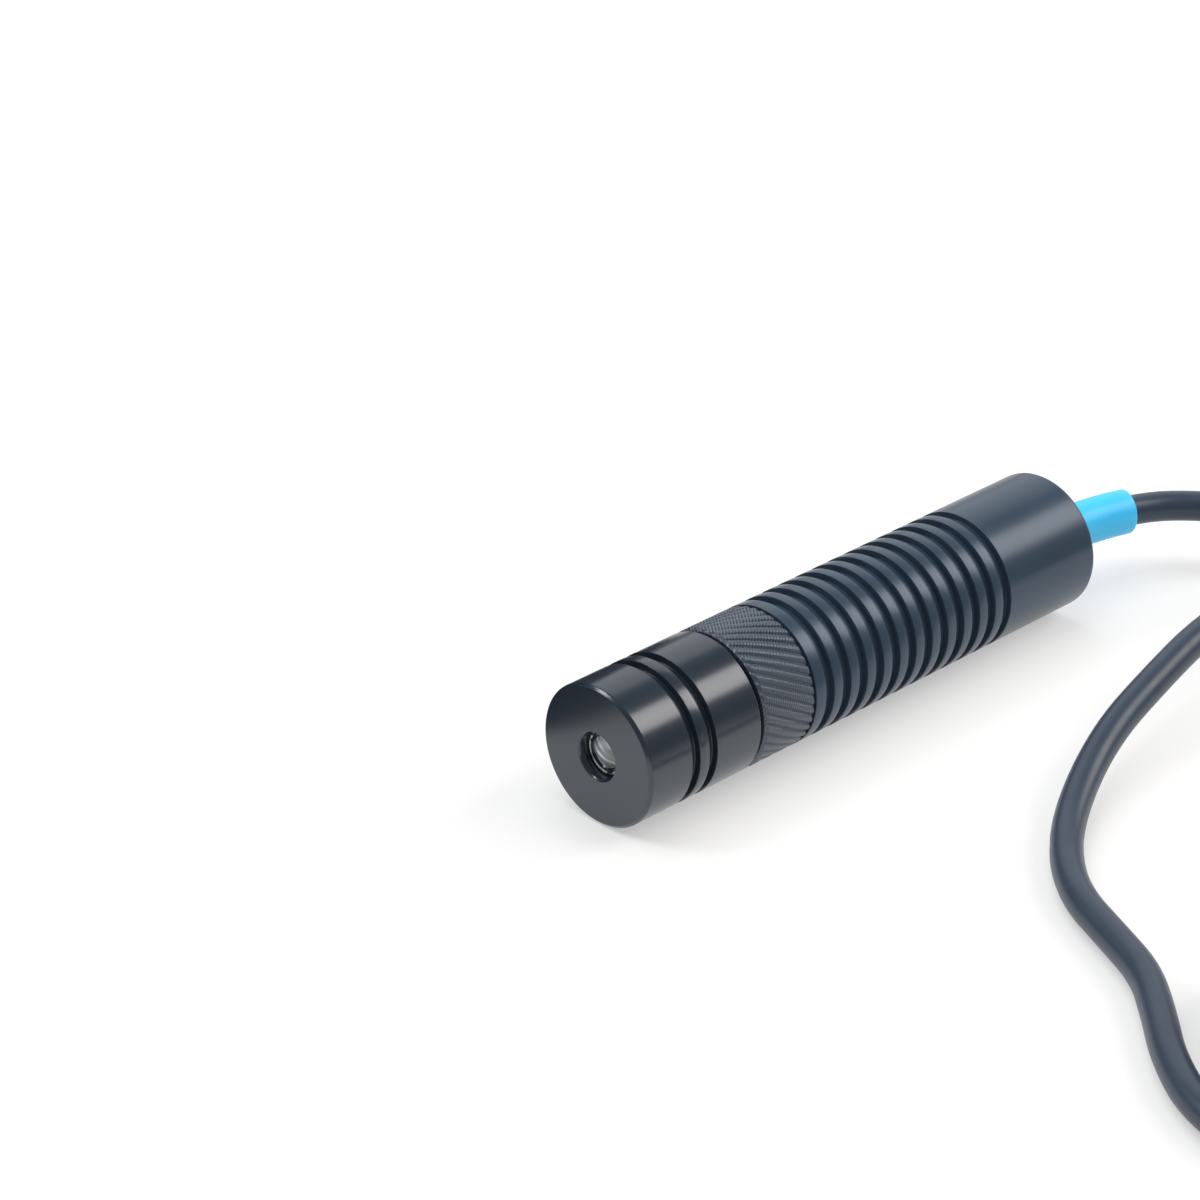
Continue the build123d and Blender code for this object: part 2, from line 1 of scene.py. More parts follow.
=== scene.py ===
"""Looks of a focusable laser diode module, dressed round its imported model.

The module lies along X with its front face towards -X. Its sizes are in millimetres and are turned to
metres by MM where a mesh is made. The lamps, the floor and the camera's near limit are in metres.
"""

import json
import logging
import math
from collections.abc import Callable, Iterable, Sequence
from dataclasses import dataclass
from enum import Enum

import bmesh
import bpy
from mathutils import Matrix, Vector

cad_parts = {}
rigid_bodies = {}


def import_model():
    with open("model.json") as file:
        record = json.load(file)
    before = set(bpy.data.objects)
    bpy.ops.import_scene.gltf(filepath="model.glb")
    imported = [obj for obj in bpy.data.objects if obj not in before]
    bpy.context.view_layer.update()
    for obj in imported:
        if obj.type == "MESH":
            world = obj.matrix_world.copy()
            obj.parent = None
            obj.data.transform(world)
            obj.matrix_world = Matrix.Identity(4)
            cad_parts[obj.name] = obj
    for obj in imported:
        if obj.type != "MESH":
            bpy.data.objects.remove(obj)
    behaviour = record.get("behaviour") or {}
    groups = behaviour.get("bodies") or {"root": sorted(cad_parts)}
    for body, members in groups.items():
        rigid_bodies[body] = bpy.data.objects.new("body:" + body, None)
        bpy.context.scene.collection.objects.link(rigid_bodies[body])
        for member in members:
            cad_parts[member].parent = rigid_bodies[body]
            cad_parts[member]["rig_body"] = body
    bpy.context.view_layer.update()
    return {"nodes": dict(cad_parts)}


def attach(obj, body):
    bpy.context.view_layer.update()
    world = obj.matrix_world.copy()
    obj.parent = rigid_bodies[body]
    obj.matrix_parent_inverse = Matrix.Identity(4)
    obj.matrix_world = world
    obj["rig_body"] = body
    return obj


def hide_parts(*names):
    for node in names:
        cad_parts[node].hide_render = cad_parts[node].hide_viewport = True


MM = 0.001
FULL_TURN = 2 * math.pi
ON_AXIS_MM = 1e-6
CREST_TOLERANCE = 0.01 * MM
SHARP_ANGLE = math.radians(38)
LOG = logging.getLogger("laser_module")

Point = tuple[float, float, float]
Corner = tuple[float, float, float]  # station, radius and rounding
Pair = tuple[float, float]
Socket = bpy.types.NodeSocket
Tree = bpy.types.NodeTree
Form = bmesh.types.BMesh
Ring = list[bmesh.types.BMVert]
Piece = bpy.types.Object


class Body(Enum):
    """The rigid bodies that pieces ride on."""

    HOUSING = "housing"
    HEAD = "head"


class Grain(Enum):
    """How a plastic's surface was made."""

    MOULDED = "moulded"
    EXTRUDED = "extruded"
    WOVEN = "woven"


def linear(hex_colour: str) -> tuple[float, float, float, float]:
    """Turn an sRGB colour into the linear one that shaders take.

    Args:
        hex_colour: the colour as #rrggbb.

    Returns:
        Red, green, blue and an alpha of one.
    """
    shares = [int(hex_colour[place : place + 2], 16) / 255 for place in (1, 3, 5)]
    red, green, blue = (s / 12.92 if s <= 0.04045 else ((s + 0.055) / 1.055) ** 2.4 for s in shares)
    return (red, green, blue, 1.0)


def feed(tree: Tree, node: bpy.types.Node, inputs: dict[str | int, object]) -> None:
    """Set a node's inputs.

    Args:
        tree: the node tree.
        node: the node.
        inputs: a value, or the output socket that feeds it, by input socket.
    """
    for name, value in inputs.items():
        if isinstance(value, Socket):
            tree.links.new(value, node.inputs[name])
        else:
            node.inputs[name].default_value = value


def add_node(
    tree: Tree, kind: str, inputs: dict[str | int, object] | None = None, **settings: object
) -> bpy.types.Node:
    """Add a node with its settings, its inputs' values and the links that feed them.

    Args:
        tree: the node tree.
        kind: the node's type name.
        inputs: a value, or the output socket that feeds it, by input socket.
        settings: properties of the node itself.

    Returns:
        The new node.
    """
    node = tree.nodes.new(kind)
    for name, value in settings.items():
        setattr(node, name, value)
    feed(tree, node, inputs or {})
    return node


def calculate(tree: Tree, operation: str, *operands: object) -> Socket:
    """Add one step of arithmetic to a node tree.

    Args:
        tree: the node tree.
        operation: the step, such as MULTIPLY.
        operands: output sockets and numbers.

    Returns:
        The socket that holds the result.
    """
    return add_node(tree, "ShaderNodeMath", dict(enumerate(operands)), operation=operation).outputs[0]


def hypotenuse(tree: Tree, across: Socket, up: Socket) -> Socket:
    """The socket that holds the distance which two others span at a right angle."""
    squares = [calculate(tree, "POWER", side, 2.0) for side in (across, up)]
    return calculate(tree, "SQRT", calculate(tree, "ADD", *squares))


class Surface:
    """A material under construction, round its Principled shader."""

    def __init__(self, name: str) -> None:
        """Start the material.

        Args:
            name: the finish's name.
        """
        self.material = bpy.data.materials.new(name)
        self.material.use_nodes = True
        self.tree = self.material.node_tree
        self.shader = self.tree.nodes["Principled BSDF"]

    def set(self, inputs: dict[str, object]) -> None:
        """Set the shader's inputs to values, or feed them from sockets."""
        feed(self.tree, self.shader, inputs)

    def place(self) -> Socket:
        """The socket that holds a point's own coordinates on its piece."""
        return add_node(self.tree, "ShaderNodeTexCoord").outputs["Object"]

    def calculate(self, operation: str, *operands: object) -> Socket:
        """The socket that holds one step of arithmetic on sockets and numbers."""
        return calculate(self.tree, operation, *operands)

    def noise(self, place: Socket, scale: float, detail: float, roughness: float = 0.5) -> Socket:
        """Add a noise pattern.

        Args:
            place: the coordinates that it is read at.
            scale: spots in a unit of the coordinates.
            detail: finer layers in the pattern.
            roughness: how strongly the finer layers show.

        Returns:
            The socket that holds the pattern, from zero to one.
        """
        inputs = {"Vector": place, "Scale": scale, "Detail": detail, "Roughness": roughness}
        return add_node(self.tree, "ShaderNodeTexNoise", inputs).outputs["Fac"]

    def stretch(self, pattern: Socket, low: float, high: float, curve: str = "LINEAR") -> Socket:
        """Stretch a part of a pattern's range over the whole of it.

        Args:
            pattern: the socket that holds the pattern.
            low: the value that becomes zero.
            high: the value that becomes one.
            curve: how the values between them run.

        Returns:
            The socket that holds the stretched pattern.
        """
        inputs = {"Value": pattern, "From Min": low, "From Max": high}
        return add_node(self.tree, "ShaderNodeMapRange", inputs, interpolation_type=curve).outputs["Result"]

    def mix(self, share: Socket, first: str | Socket, second: str) -> Socket:
        """Blend two colours.

        Args:
            share: how much of the second colour shows.
            first: a colour as #rrggbb, or the socket that holds one.
            second: a colour as #rrggbb.

        Returns:
            The socket that holds the blend.
        """
        start = linear(first) if isinstance(first, str) else first
        inputs = {"Factor": share, "A": start, "B": linear(second)}
        return add_node(self.tree, "ShaderNodeMix", inputs, data_type="RGBA").outputs["Result"]

    def spread_gloss(self, pattern: Socket, roughness: float, spread: float) -> None:
        """Let a pattern vary the roughness.

        Args:
            pattern: the socket that holds the pattern.
            roughness: the roughness at the pattern's middle.
            spread: how far the roughness goes either way.
        """
        inputs = {"Value": pattern, "To Min": roughness - spread, "To Max": roughness + spread}
        self.set({"Roughness": add_node(self.tree, "ShaderNodeMapRange", inputs).outputs["Result"]})

    def bump(self, height: Socket, depth_mm: float) -> None:
        """Add a pattern's height to the surface, over any bump that it has.

        Args:
            height: the socket that holds the pattern.
            depth_mm: how deep the pattern is.
        """
        inputs = {"Height": height, "Strength": 1.0, "Distance": depth_mm * MM}
        normal = self.shader.inputs["Normal"]
        if normal.is_linked:
            inputs["Normal"] = normal.links[0].from_socket
        self.set({"Normal": add_node(self.tree, "ShaderNodeBump", inputs).outputs["Normal"]})

    def around_axis(self, height_mm: float) -> dict[str, Socket]:
        """Coordinates of a turned piece: along the beam axis, out from it and round it.

        Args:
            height_mm: the beam axis's height above the surface that the module lies on.

        Returns:
            Sockets named along, out and turn; the first two are in metres and turn is in radians.
        """
        parts = add_node(self.tree, "ShaderNodeSeparateXYZ", {0: self.place()}).outputs
        up = self.calculate("SUBTRACT", parts["Z"], height_mm * MM)
        return {
            "along": parts["X"],
            "out": hypotenuse(self.tree, parts["Y"], up),
            "turn": self.calculate("ARCTAN2", parts["Y"], self.calculate("MULTIPLY", up, -1.0)),
        }


@dataclass(frozen=True)
class TurnedAnodising:
    """Black anodised aluminium, turned on a lathe and dyed before sealing.

    The dyed oxide gives a dark blue-grey satin. Fine turning marks run round the axis, so the gloss breaks
    into soft rings on a face and stays a clean streak along a cylinder. Real marks are finer than the
    picture shows, so they are drawn coarser here.
    """

    name: str = "black_anodised_aluminium"
    colour: str = "#293542"
    dye_depth_colour: str = "#222d38"
    metal_share: float = 0.2
    sheen_of_oxide: float = 1.0
    roughness: float = 0.22
    roughness_spread: float = 0.05
    mark_spacing_mm: float = 0.11
    mark_depth_mm: float = 0.0006
    patches_per_metre: float = 190.0
    axis_height_mm: float = 8.0
    cross_line_count: int = 0
    cross_line_pitch_mm: float = 0.45
    cross_line_depth_mm: float = 0.05
    # Painted shade: in front of gap_end_mm the surface gets a darker colour and almost no gloss, standing in
    # for the shade in the parting gap.
    gap_end_mm: float | None = None
    gap_shade_colour: str = "#1a2029"
    gap_shade_sheen: float = 0.05

    def material(self) -> bpy.types.Material:
        """Build the finish, with crossing knurl lines if it has any, and painted shade in front of the
        parting gap if it has a gap end.

        Returns:
            The material.
        """
        surface = Surface(self.name)
        axis = surface.around_axis(self.axis_height_mm)
        rings = {
            place: surface.calculate("MULTIPLY", axis[name], 1 / (self.mark_spacing_mm * MM))
            for place, name in (("X", "along"), ("Y", "out"))
        }
        ring_place = add_node(surface.tree, "ShaderNodeCombineXYZ", rings).outputs[0]
        marks = surface.noise(ring_place, scale=1.0, detail=3.0, roughness=0.6)
        patches = surface.noise(surface.place(), self.patches_per_metre, detail=2.0)
        tone = surface.mix(patches, self.dye_depth_colour, self.colour)
        sheen: float | Socket = self.sheen_of_oxide
        # Painted shade by the parting gap: darker colour and less gloss in front of the gap's end.
        if self.gap_end_mm is not None:
            gap_shade = surface.calculate("LESS_THAN", axis["along"], self.gap_end_mm * MM)
            gap_shade_sheen_drop = self.gap_shade_sheen - self.sheen_of_oxide
            sheen = surface.calculate("MULTIPLY_ADD", gap_shade, gap_shade_sheen_drop, self.sheen_of_oxide)
            tone = surface.mix(gap_shade, tone, self.gap_shade_colour)
        surface.set({"Base Color": tone, "Metallic": self.metal_share, "Specular IOR Level": sheen})
        surface.spread_gloss(marks, self.roughness, self.roughness_spread / 2)
        surface.bump(marks, self.mark_depth_mm)
        if self.cross_line_count:
            surface.bump(self.cross_lines(surface, axis), self.cross_line_depth_mm)
        return surface.material

    def cross_lines(self, surface: Surface, axis: dict[str, Socket]) -> Socket:
        """The knurl's fine crossing lines, of the opposite hand to its main grooves.

        Args:
            surface: the material under construction.
            axis: the turned piece's coordinates.

        Returns:
            The socket that holds the lines' height, from zero to one.
        """
        round_body = surface.calculate("MULTIPLY", axis["turn"], float(self.cross_line_count))
        waves_per_metre = FULL_TURN / (self.cross_line_pitch_mm * MM)
        along = surface.calculate("MULTIPLY", axis["along"], waves_per_metre)
        wave = surface.calculate("SINE", surface.calculate("ADD", round_body, along))
        return surface.calculate("MULTIPLY_ADD", wave, 0.5, 0.5)


@dataclass(frozen=True)
class Plastic:
    """A solid-coloured plastic or rubber, with the grain that its making leaves.

    A moulded face has a faint fine grain, an extruded jacket has long soft waves and a satin skin, and a
    woven strap has threads that cross.
    """

    name: str
    colour: str
    second_colour: str
    roughness: float = 0.45
    grain: Grain = Grain.MOULDED
    grain_mm: float = 0.25
    depth_mm: float = 0.004
    sheen: float = 0.0
    glow_through: float = 0.0
    tone_mm: float = 4.2
    tone_blend: float = 0.5
    gloss_spread: float = 0.15

    def material(self) -> bpy.types.Material:
        """Build the finish from the real colour, with its grain as bump and as a change of gloss.

        Returns:
            The material.
        """
        surface = Surface(self.name)
        place = surface.place()
        height = self.height(surface, place)
        shade = surface.noise(place, 1 / (self.tone_mm * MM), detail=3.0)
        share = surface.stretch(shade, 0.5 - self.tone_blend, 0.5 + self.tone_blend)
        surface.spread_gloss(height, self.roughness, self.roughness * self.gloss_spread)
        surface.bump(height, self.depth_mm)
        surface.set(
            {
                "Base Color": surface.mix(share, self.second_colour, self.colour),
                "Sheen Weight": self.sheen,
                "Subsurface Weight": self.glow_through,
                "Subsurface Scale": MM,
            }
        )
        return surface.material

    def height(self, surface: Surface, place: Socket) -> Socket:
        """The grain's height over the surface.

        Args:
            surface: the material under construction.
            place: the object coordinates.

        Returns:
            The socket that holds the height, from zero to one.
        """
        scale = 1 / (self.grain_mm * MM)
        if self.grain is Grain.WOVEN:
            spots = add_node(surface.tree, "ShaderNodeTexVoronoi", {"Vector": place, "Scale": scale})
            return spots.outputs["Distance"]
        return surface.noise(place, scale, detail=1.0 if self.grain is Grain.EXTRUDED else 4.0)


@dataclass(frozen=True)
class PlainMetal:
    """A bare or plated metal part, such as turned brass, nickel or gold plate.

    The colour is the metal's own reflection, and faint tool marks spread the gloss.
    """

    name: str
    colour: str
    roughness: float = 0.28
    gloss_spread: float = 0.2
    mark_mm: float = 0.09
    depth_mm: float = 0.001

    def material(self) -> bpy.types.Material:
        """Build the metal with its tool marks.

        Returns:
            The material.
        """
        surface = Surface(self.name)
        marks = surface.noise(surface.place(), 1 / (self.mark_mm * MM), detail=2.0)
        surface.spread_gloss(marks, self.roughness, self.roughness * self.gloss_spread)
        surface.bump(marks, self.depth_mm)
        surface.set({"Base Color": linear(self.colour), "Metallic": 1.0})
        return surface.material


@dataclass(frozen=True)
class CoatedGlass:
    """Optical glass with a weak reflection and a hazy middle. Painted highlight streaks across the middle
    stand in for the lamps' reflections, and painted shade on the rim stands in for the dark bore seen
    through its clear glass.
    """

    name: str = "coated_glass"
    colour: str = "#eef2f6"
    # Painted highlight: the colour of the bright streaks, standing in for reflections of the lamps.
    streak_colour: str = "#eef2f6"
    clear_share: float = 1.0
    roughness: float = 0.06
    glass_ior: float = 1.52
    streak_mm: Pair = (2.2, 0.5)
    streak_tilt: float = 22.0
    streak_range: Pair = (0.42, 0.64)
    gloss_spread: float = 0.5
    # Painted shade on the rim from this radius out, standing in for the shaded bore seen through clear
    # glass.
    shaded_rim_from_mm: float = 100.0
    rim_shade_colour: str = "#1b1f26"
    axis_height_mm: float = 8.0

    def material(self) -> bpy.types.Material:
        """Build the glass, with painted highlight streaks that run across its hazy middle, standing in for
        the lamps' reflections, and painted shade on its rim.

        Returns:
            The material.
        """
        surface = Surface(self.name)
        # Painted reflection: bright streaks over the glass colour stand in for the lamps' reflections on the
        # lens.
        long_way, short_way = (size * MM for size in self.streak_mm)
        inputs = {
            "Vector": surface.place(),
            "Scale": (long_way, long_way, short_way),
            "Rotation": (math.radians(self.streak_tilt), 0.0, 0.0),
        }
        streak_place = add_node(surface.tree, "ShaderNodeMapping", inputs, vector_type="TEXTURE").outputs[0]
        streak_noise = surface.noise(streak_place, scale=1.0, detail=1.0)
        marks = surface.stretch(streak_noise, *self.streak_range, "SMOOTHSTEP")
        streaked = surface.mix(marks, self.colour, self.streak_colour)
        # Painted shade: past this radius the glass is dark and opaque, standing in for the shaded bore seen
        # through its clear rim.
        out = surface.around_axis(self.axis_height_mm)["out"]
        rim_shade = surface.calculate("GREATER_THAN", out, self.shaded_rim_from_mm * MM)
        clear = surface.calculate("MULTIPLY_ADD", rim_shade, -self.clear_share, self.clear_share)
        colour = surface.mix(rim_shade, streaked, self.rim_shade_colour)
        surface.spread_gloss(marks, self.roughness, self.roughness * self.gloss_spread)
        surface.set({"Base Color": colour, "Transmission Weight": clear, "IOR": self.glass_ior})
        return surface.material


ANODISED = TurnedAnodising()
ANODISED_BARREL = TurnedAnodising(
    name="black_anodised_barrel",
    colour="#3a4b5d",
    dye_depth_colour="#334253",
    sheen_of_oxide=0.5,
    roughness=0.31,
    mark_depth_mm=0.0003,
)
ANODISED_KNURL = TurnedAnodising(
    name="black_anodised_knurl",
    colour="#465363",
    dye_depth_colour="#3c4857",
    roughness=0.33,
    mark_depth_mm=0.0003,
    cross_line_count=94,
    cross_line_depth_mm=0.05,
    cross_line_pitch_mm=0.44,
    # Painted shade on the first part of the knurl's front chamfer, next to the parting gap.
    gap_end_mm=-18.22,
)
GLASS = CoatedGlass()
# The lens's bright streaks are painted reflection of the lamps.
LENS_GLASS = CoatedGlass(
    "hazy_lens_painted_streaks_and_rim_shade",
    colour="#8b9092",
    streak_colour="#f2f5fa",
    clear_share=0.2,
    roughness=0.12,
    # Painted shade on the rim from just outside the crown.
    shaded_rim_from_mm=1.8,
)
GROUND_RIM = Plastic(
    "ground_glass_rim", "#e4e6e2", "#14171b", roughness=0.6, tone_mm=0.5, tone_blend=0.05, grain_mm=0.4
)
BRASS = PlainMetal("turned_brass", "#d9b36a")
NICKEL = PlainMetal("nickel_plate", "#c9c5bb", roughness=0.2)
GOLD = PlainMetal("gold_plate", "#e3c077", roughness=0.18)
BLUE_SLEEVE = Plastic(
    "blue_shrunk_vinyl", "#48cfff", "#38c4ff", roughness=0.45, grain_mm=0.6, depth_mm=0.01, glow_through=0.3
)
LEAD_JACKET = Plastic(
    "black_extruded_vinyl",
    "#364354",
    "#2f3b4a",
    roughness=0.38,
    grain=Grain.EXTRUDED,
    grain_mm=1.4,
    depth_mm=0.012,
)
STRAP = Plastic(
    "woven_strap",
    "#26282b",
    "#1c1d20",
    roughness=0.8,
    grain=Grain.WOVEN,
    grain_mm=0.35,
    depth_mm=0.08,
    sheen=0.3,
)
SOCKET_CASE = Plastic("black_moulded_vinyl", "#2a2e33", "#24272c", roughness=0.42)
WHITE_NYLON = Plastic("white_nylon", "#d8d5cc", "#cdcac0", roughness=0.5)
RUBBER = Plastic("black_rubber", "#1d1e20", "#17181a", roughness=0.65)
BOARD = Plastic("green_solder_mask", "#1f6b3c", "#1a5c34", roughness=0.3)
EPOXY = Plastic("black_epoxy", "#232427", "#1c1d1f", roughness=0.55)
FERRITE = Plastic("grey_ferrite", "#4a4b4e", "#3f4043", roughness=0.6)
TRIMMER = Plastic("blue_thermoset", "#2f56a8", "#274a94", roughness=0.4)
CERAMIC = Plastic("tan_ceramic", "#b3956c", "#a5885f", roughness=0.5)
FILM = Plastic("white_film", "#dcdad2", "#d0cec5", roughness=0.4)
RED_WIRE = Plastic("red_insulation", "#b3201c", "#a11b18", roughness=0.35)
BLACK_WIRE = Plastic("black_insulation", "#25262a", "#1e1f22", roughness=0.35)

NODE_FINISHES = {
    "lens_retainer": BRASS,
    "friction_ring": RUBBER,
    "diode_mount": BRASS,
    "diode_retainer": BRASS,
    "diode_base": GOLD,
    "diode_cap": NICKEL,
    "diode_window": GLASS,
    "diode_pins": GOLD,
    "driver_board": BOARD,
    "driver_chip": EPOXY,
    "power_transistor": EPOXY,
    "inductor": FERRITE,
    "current_trimmer": TRIMMER,
    "filter_capacitors": CERAMIC,
    "resistors": EPOXY,
    "board_insulator": FILM,
    "supply_wire_positive": RED_WIRE,
    "supply_wire_negative": BLACK_WIRE,
    "rear_cap": ANODISED_BARREL,
    "coil_tie": STRAP,
    "socket_body": SOCKET_CASE,
    "socket_contact": NICKEL,
    "socket_pin": NICKEL,
    "socket_insulator": WHITE_NYLON,
}


class FinishShelf:
    """Keeps one material for each finish, made when it is first asked for."""

    def __init__(self) -> None:
        """Start with an empty shelf."""
        self.made: dict[str, bpy.types.Material] = {}

    def take(self, finish: TurnedAnodising | Plastic | PlainMetal | CoatedGlass) -> bpy.types.Material:
        """The material of a finish.

        Args:
            finish: the finish.

        Returns:
            Its material.
        """
        if finish.name not in self.made:
            self.made[finish.name] = finish.material()
        return self.made[finish.name]


def link_mesh(name: str, form: Form, material: bpy.types.Material) -> Piece:
    """Turn a bmesh into a smooth object of the scene.

    Args:
        name: the piece's name.
        form: the mesh, in metres; it is freed here.
        material: the piece's material.

    Returns:
        The object.
    """
    bmesh.ops.recalc_face_normals(form, faces=form.faces)
    mesh = bpy.data.meshes.new(name)
    form.to_mesh(mesh)
    form.free()
    mesh.materials.append(material)
    mesh.shade_smooth()
    piece = bpy.data.objects.new(name, mesh)
    bpy.context.scene.collection.objects.link(piece)
    return piece


def bake(piece: Piece, sharp_angle: float = SHARP_ANGLE) -> Piece:
    """Apply a piece's modifiers for good and shade it by its faces' sizes.

    Args:
        piece: the piece with its modifiers.
        sharp_angle: edges that turn by more than this stay sharp.

    Returns:
        The same piece with a plain mesh and no modifiers.
    """
    piece.modifiers.new("even_shading", "WEIGHTED_NORMAL").keep_sharp = True
    piece.data.set_sharp_from_angle(angle=sharp_angle)
    graph = bpy.context.evaluated_depsgraph_get()
    plain = bpy.data.meshes.new_from_object(piece.evaluated_get(graph))
    piece.modifiers.clear()
    piece.data = plain
    return piece


def rounded_profile(
    corners: Sequence[Corner], steps: int = 3, most_of_side: float = 0.45
) -> list[Pair]:
    """Round the corners of a closed outline.

    Args:
        corners: station, radius and rounding of each corner, in order round the outline.
        steps: straight pieces in each rounding.
        most_of_side: the share of a side that one rounding may take.

    Returns:
        The points of the rounded outline.
    """
    points: list[Pair] = []
    for number, (station, radius, rounding) in enumerate(corners):
        here = Vector((station, radius))
        if rounding <= 0:
            points.append((here.x, here.y))
            continue
        before = Vector(corners[number - 1][:2]) - here
        after = Vector(corners[(number + 1) % len(corners)][:2]) - here
        reach = min(rounding, before.length * most_of_side, after.length * most_of_side)
        first, last = here + before.normalized() * reach, here + after.normalized() * reach
        for step in range(steps + 1):
            share = step / steps
            bent = first * (1 - share) ** 2 + here * 2 * share * (1 - share) + last * share**2
            points.append((bent.x, bent.y))
    return points


def bridge(form: Form, near: Ring, far: Ring) -> None:
    """Join two rings with faces.

    Args:
        form: the mesh.
        near: one ring, or a single vertex on the axis.
        far: the other ring, or a single vertex on the axis.
    """
    count = max(len(near), len(far))
    if count == 1:
        return
    for number in range(count):
        after = (number + 1) % count
        corners = [near[number % len(near)], near[after % len(near)]]
        corners += [far[after % len(far)], far[number % len(far)]]
        form.faces.new(list(dict.fromkeys(corners)))


@dataclass
class Lathe:
    """Makes turned pieces about the beam axis from outlines in stations and radii."""

    half_length: float = 35.0
    axis_height: float = 8.0
    segments: int = 192

    def ring(self, form: Form, station: float, radius: float) -> Ring:
        """One ring of vertices, or a single one on the axis.

        Args:
            form: the mesh that gets them.
            station: the distance behind the front face.
            radius: the distance from the axis.

        Returns:
            The vertices in order round the axis.
        """
        along = station - self.half_length
        if radius < ON_AXIS_MM:
            return [form.verts.new(Vector((along, 0, self.axis_height)) * MM)]
        ring = []
        for number in range(self.segments):
            angle = FULL_TURN * number / self.segments
            across, up = radius * math.sin(angle), -radius * math.cos(angle)
            ring.append(form.verts.new(Vector((along, across, self.axis_height + up)) * MM))
        return ring

    def turn(self, outline: Sequence[Pair], closed: bool = True) -> Form:
        """Turn an outline about the axis.

        Args:
            outline: stations and radii in order along the outline.
            closed: whether the last point joins the first.

        Returns:
            The turned mesh.
        """
        form = bmesh.new()
        rings = [self.ring(form, station, radius) for station, radius in outline]
        if closed:
            rings.append(rings[0])
        for near, far in zip(rings, rings[1:]):
            bridge(form, near, far)
        return form


class NodeRecipe:
    """A Geometry Nodes tree under construction, with named inputs."""

    def __init__(self, name: str, kinds: dict[str, str]) -> None:
        """Start a tree that takes and gives geometry.

        Args:
            name: the tree's name.
            kinds: socket type by input name, such as Float; every tree also takes a Finish.
        """
        self.tree = bpy.data.node_groups.new(name, "GeometryNodeTree")
        self.tree.interface.new_socket("Geometry", in_out="OUTPUT", socket_type="NodeSocketGeometry")
        self.identifiers: dict[str, str] = {}
        for title, kind in {"Geometry": "Geometry", **kinds, "Finish": "Material"}.items():
            socket = self.tree.interface.new_socket(title, in_out="INPUT", socket_type=f"NodeSocket{kind}")
            self.identifiers[title] = socket.identifier
        source = add_node(self.tree, "NodeGroupInput")
        self.given = {title: source.outputs[title] for title in self.identifiers}

    def add(self, kind: str, inputs: dict[str | int, object] | None = None) -> Socket:
        """The first output of a new node."""
        return add_node(self.tree, kind, inputs).outputs[0]

    def finish(self, geometry: Socket) -> "NodeRecipe":
        """End the tree with real geometry that carries its finish.

        Args:
            geometry: the last geometry socket.

        Returns:
            The recipe.
        """
        solid = self.add("GeometryNodeRealizeInstances", {"Geometry": geometry})
        inputs = {"Geometry": solid, "Material": self.given["Finish"]}
        add_node(self.tree, "NodeGroupOutput", {0: self.add("GeometryNodeSetMaterial", inputs)})
        return self

    def apply(self, piece: Piece, values: dict[str, object]) -> None:
        """Put the tree on a piece with its inputs set.

        Args:
            piece: the object that gets the modifier; its own material becomes the Finish.
            values: the other inputs' values by name.
        """
        modifier = piece.modifiers.new(self.tree.name, "NODES")
        modifier.node_group = self.tree
        for name, value in {**values, "Finish": piece.data.materials[0]}.items():
            modifier[self.identifiers[name]] = value


def row_recipe() -> NodeRecipe:
    """A tree that repeats a piece at equal steps along the beam axis.

    Returns:
        The recipe.
    """
    recipe = NodeRecipe("row_along_axis", {"Count": "Int", "Pitch": "Float"})
    given = recipe.given
    step = recipe.add("ShaderNodeCombineXYZ", {"X": given["Pitch"]})
    line = recipe.add("GeometryNodeMeshLine", {"Count": given["Count"], "Offset": step})
    row = recipe.add("GeometryNodeInstanceOnPoints", {"Points": line, "Instance": given["Geometry"]})
    return recipe.finish(row)


def knurl_recipe() -> NodeRecipe:
    """A tree that repeats a knurl tooth round the beam axis and welds the teeth into one band.

    Returns:
        The recipe.
    """
    kinds = {"Count": "Int", "Axis height": "Float", "Weld distance": "Float"}
    recipe = NodeRecipe("teeth_round_axis", kinds)
    given = recipe.given
    centre = recipe.add("ShaderNodeCombineXYZ", {"Z": given["Axis height"]})
    stacked = {"Count": given["Count"], "Start Location": centre, "Offset": (0.0, 0.0, 0.0)}
    points = recipe.add("GeometryNodeMeshLine", stacked)
    step = calculate(recipe.tree, "DIVIDE", FULL_TURN, given["Count"])
    angle = calculate(recipe.tree, "MULTIPLY", recipe.add("GeometryNodeInputIndex"), step)
    turned = recipe.add(
        "FunctionNodeEulerToRotation", {0: recipe.add("ShaderNodeCombineXYZ", {"X": angle})}
    )
    placed = {"Points": points, "Instance": given["Geometry"], "Rotation": turned}
    teeth = recipe.add("GeometryNodeInstanceOnPoints", placed)
    loose = recipe.add("GeometryNodeRealizeInstances", {"Geometry": teeth})
    weld = {"Geometry": loose, "Distance": given["Weld distance"]}
    return recipe.finish(recipe.add("GeometryNodeMergeByDistance", weld))


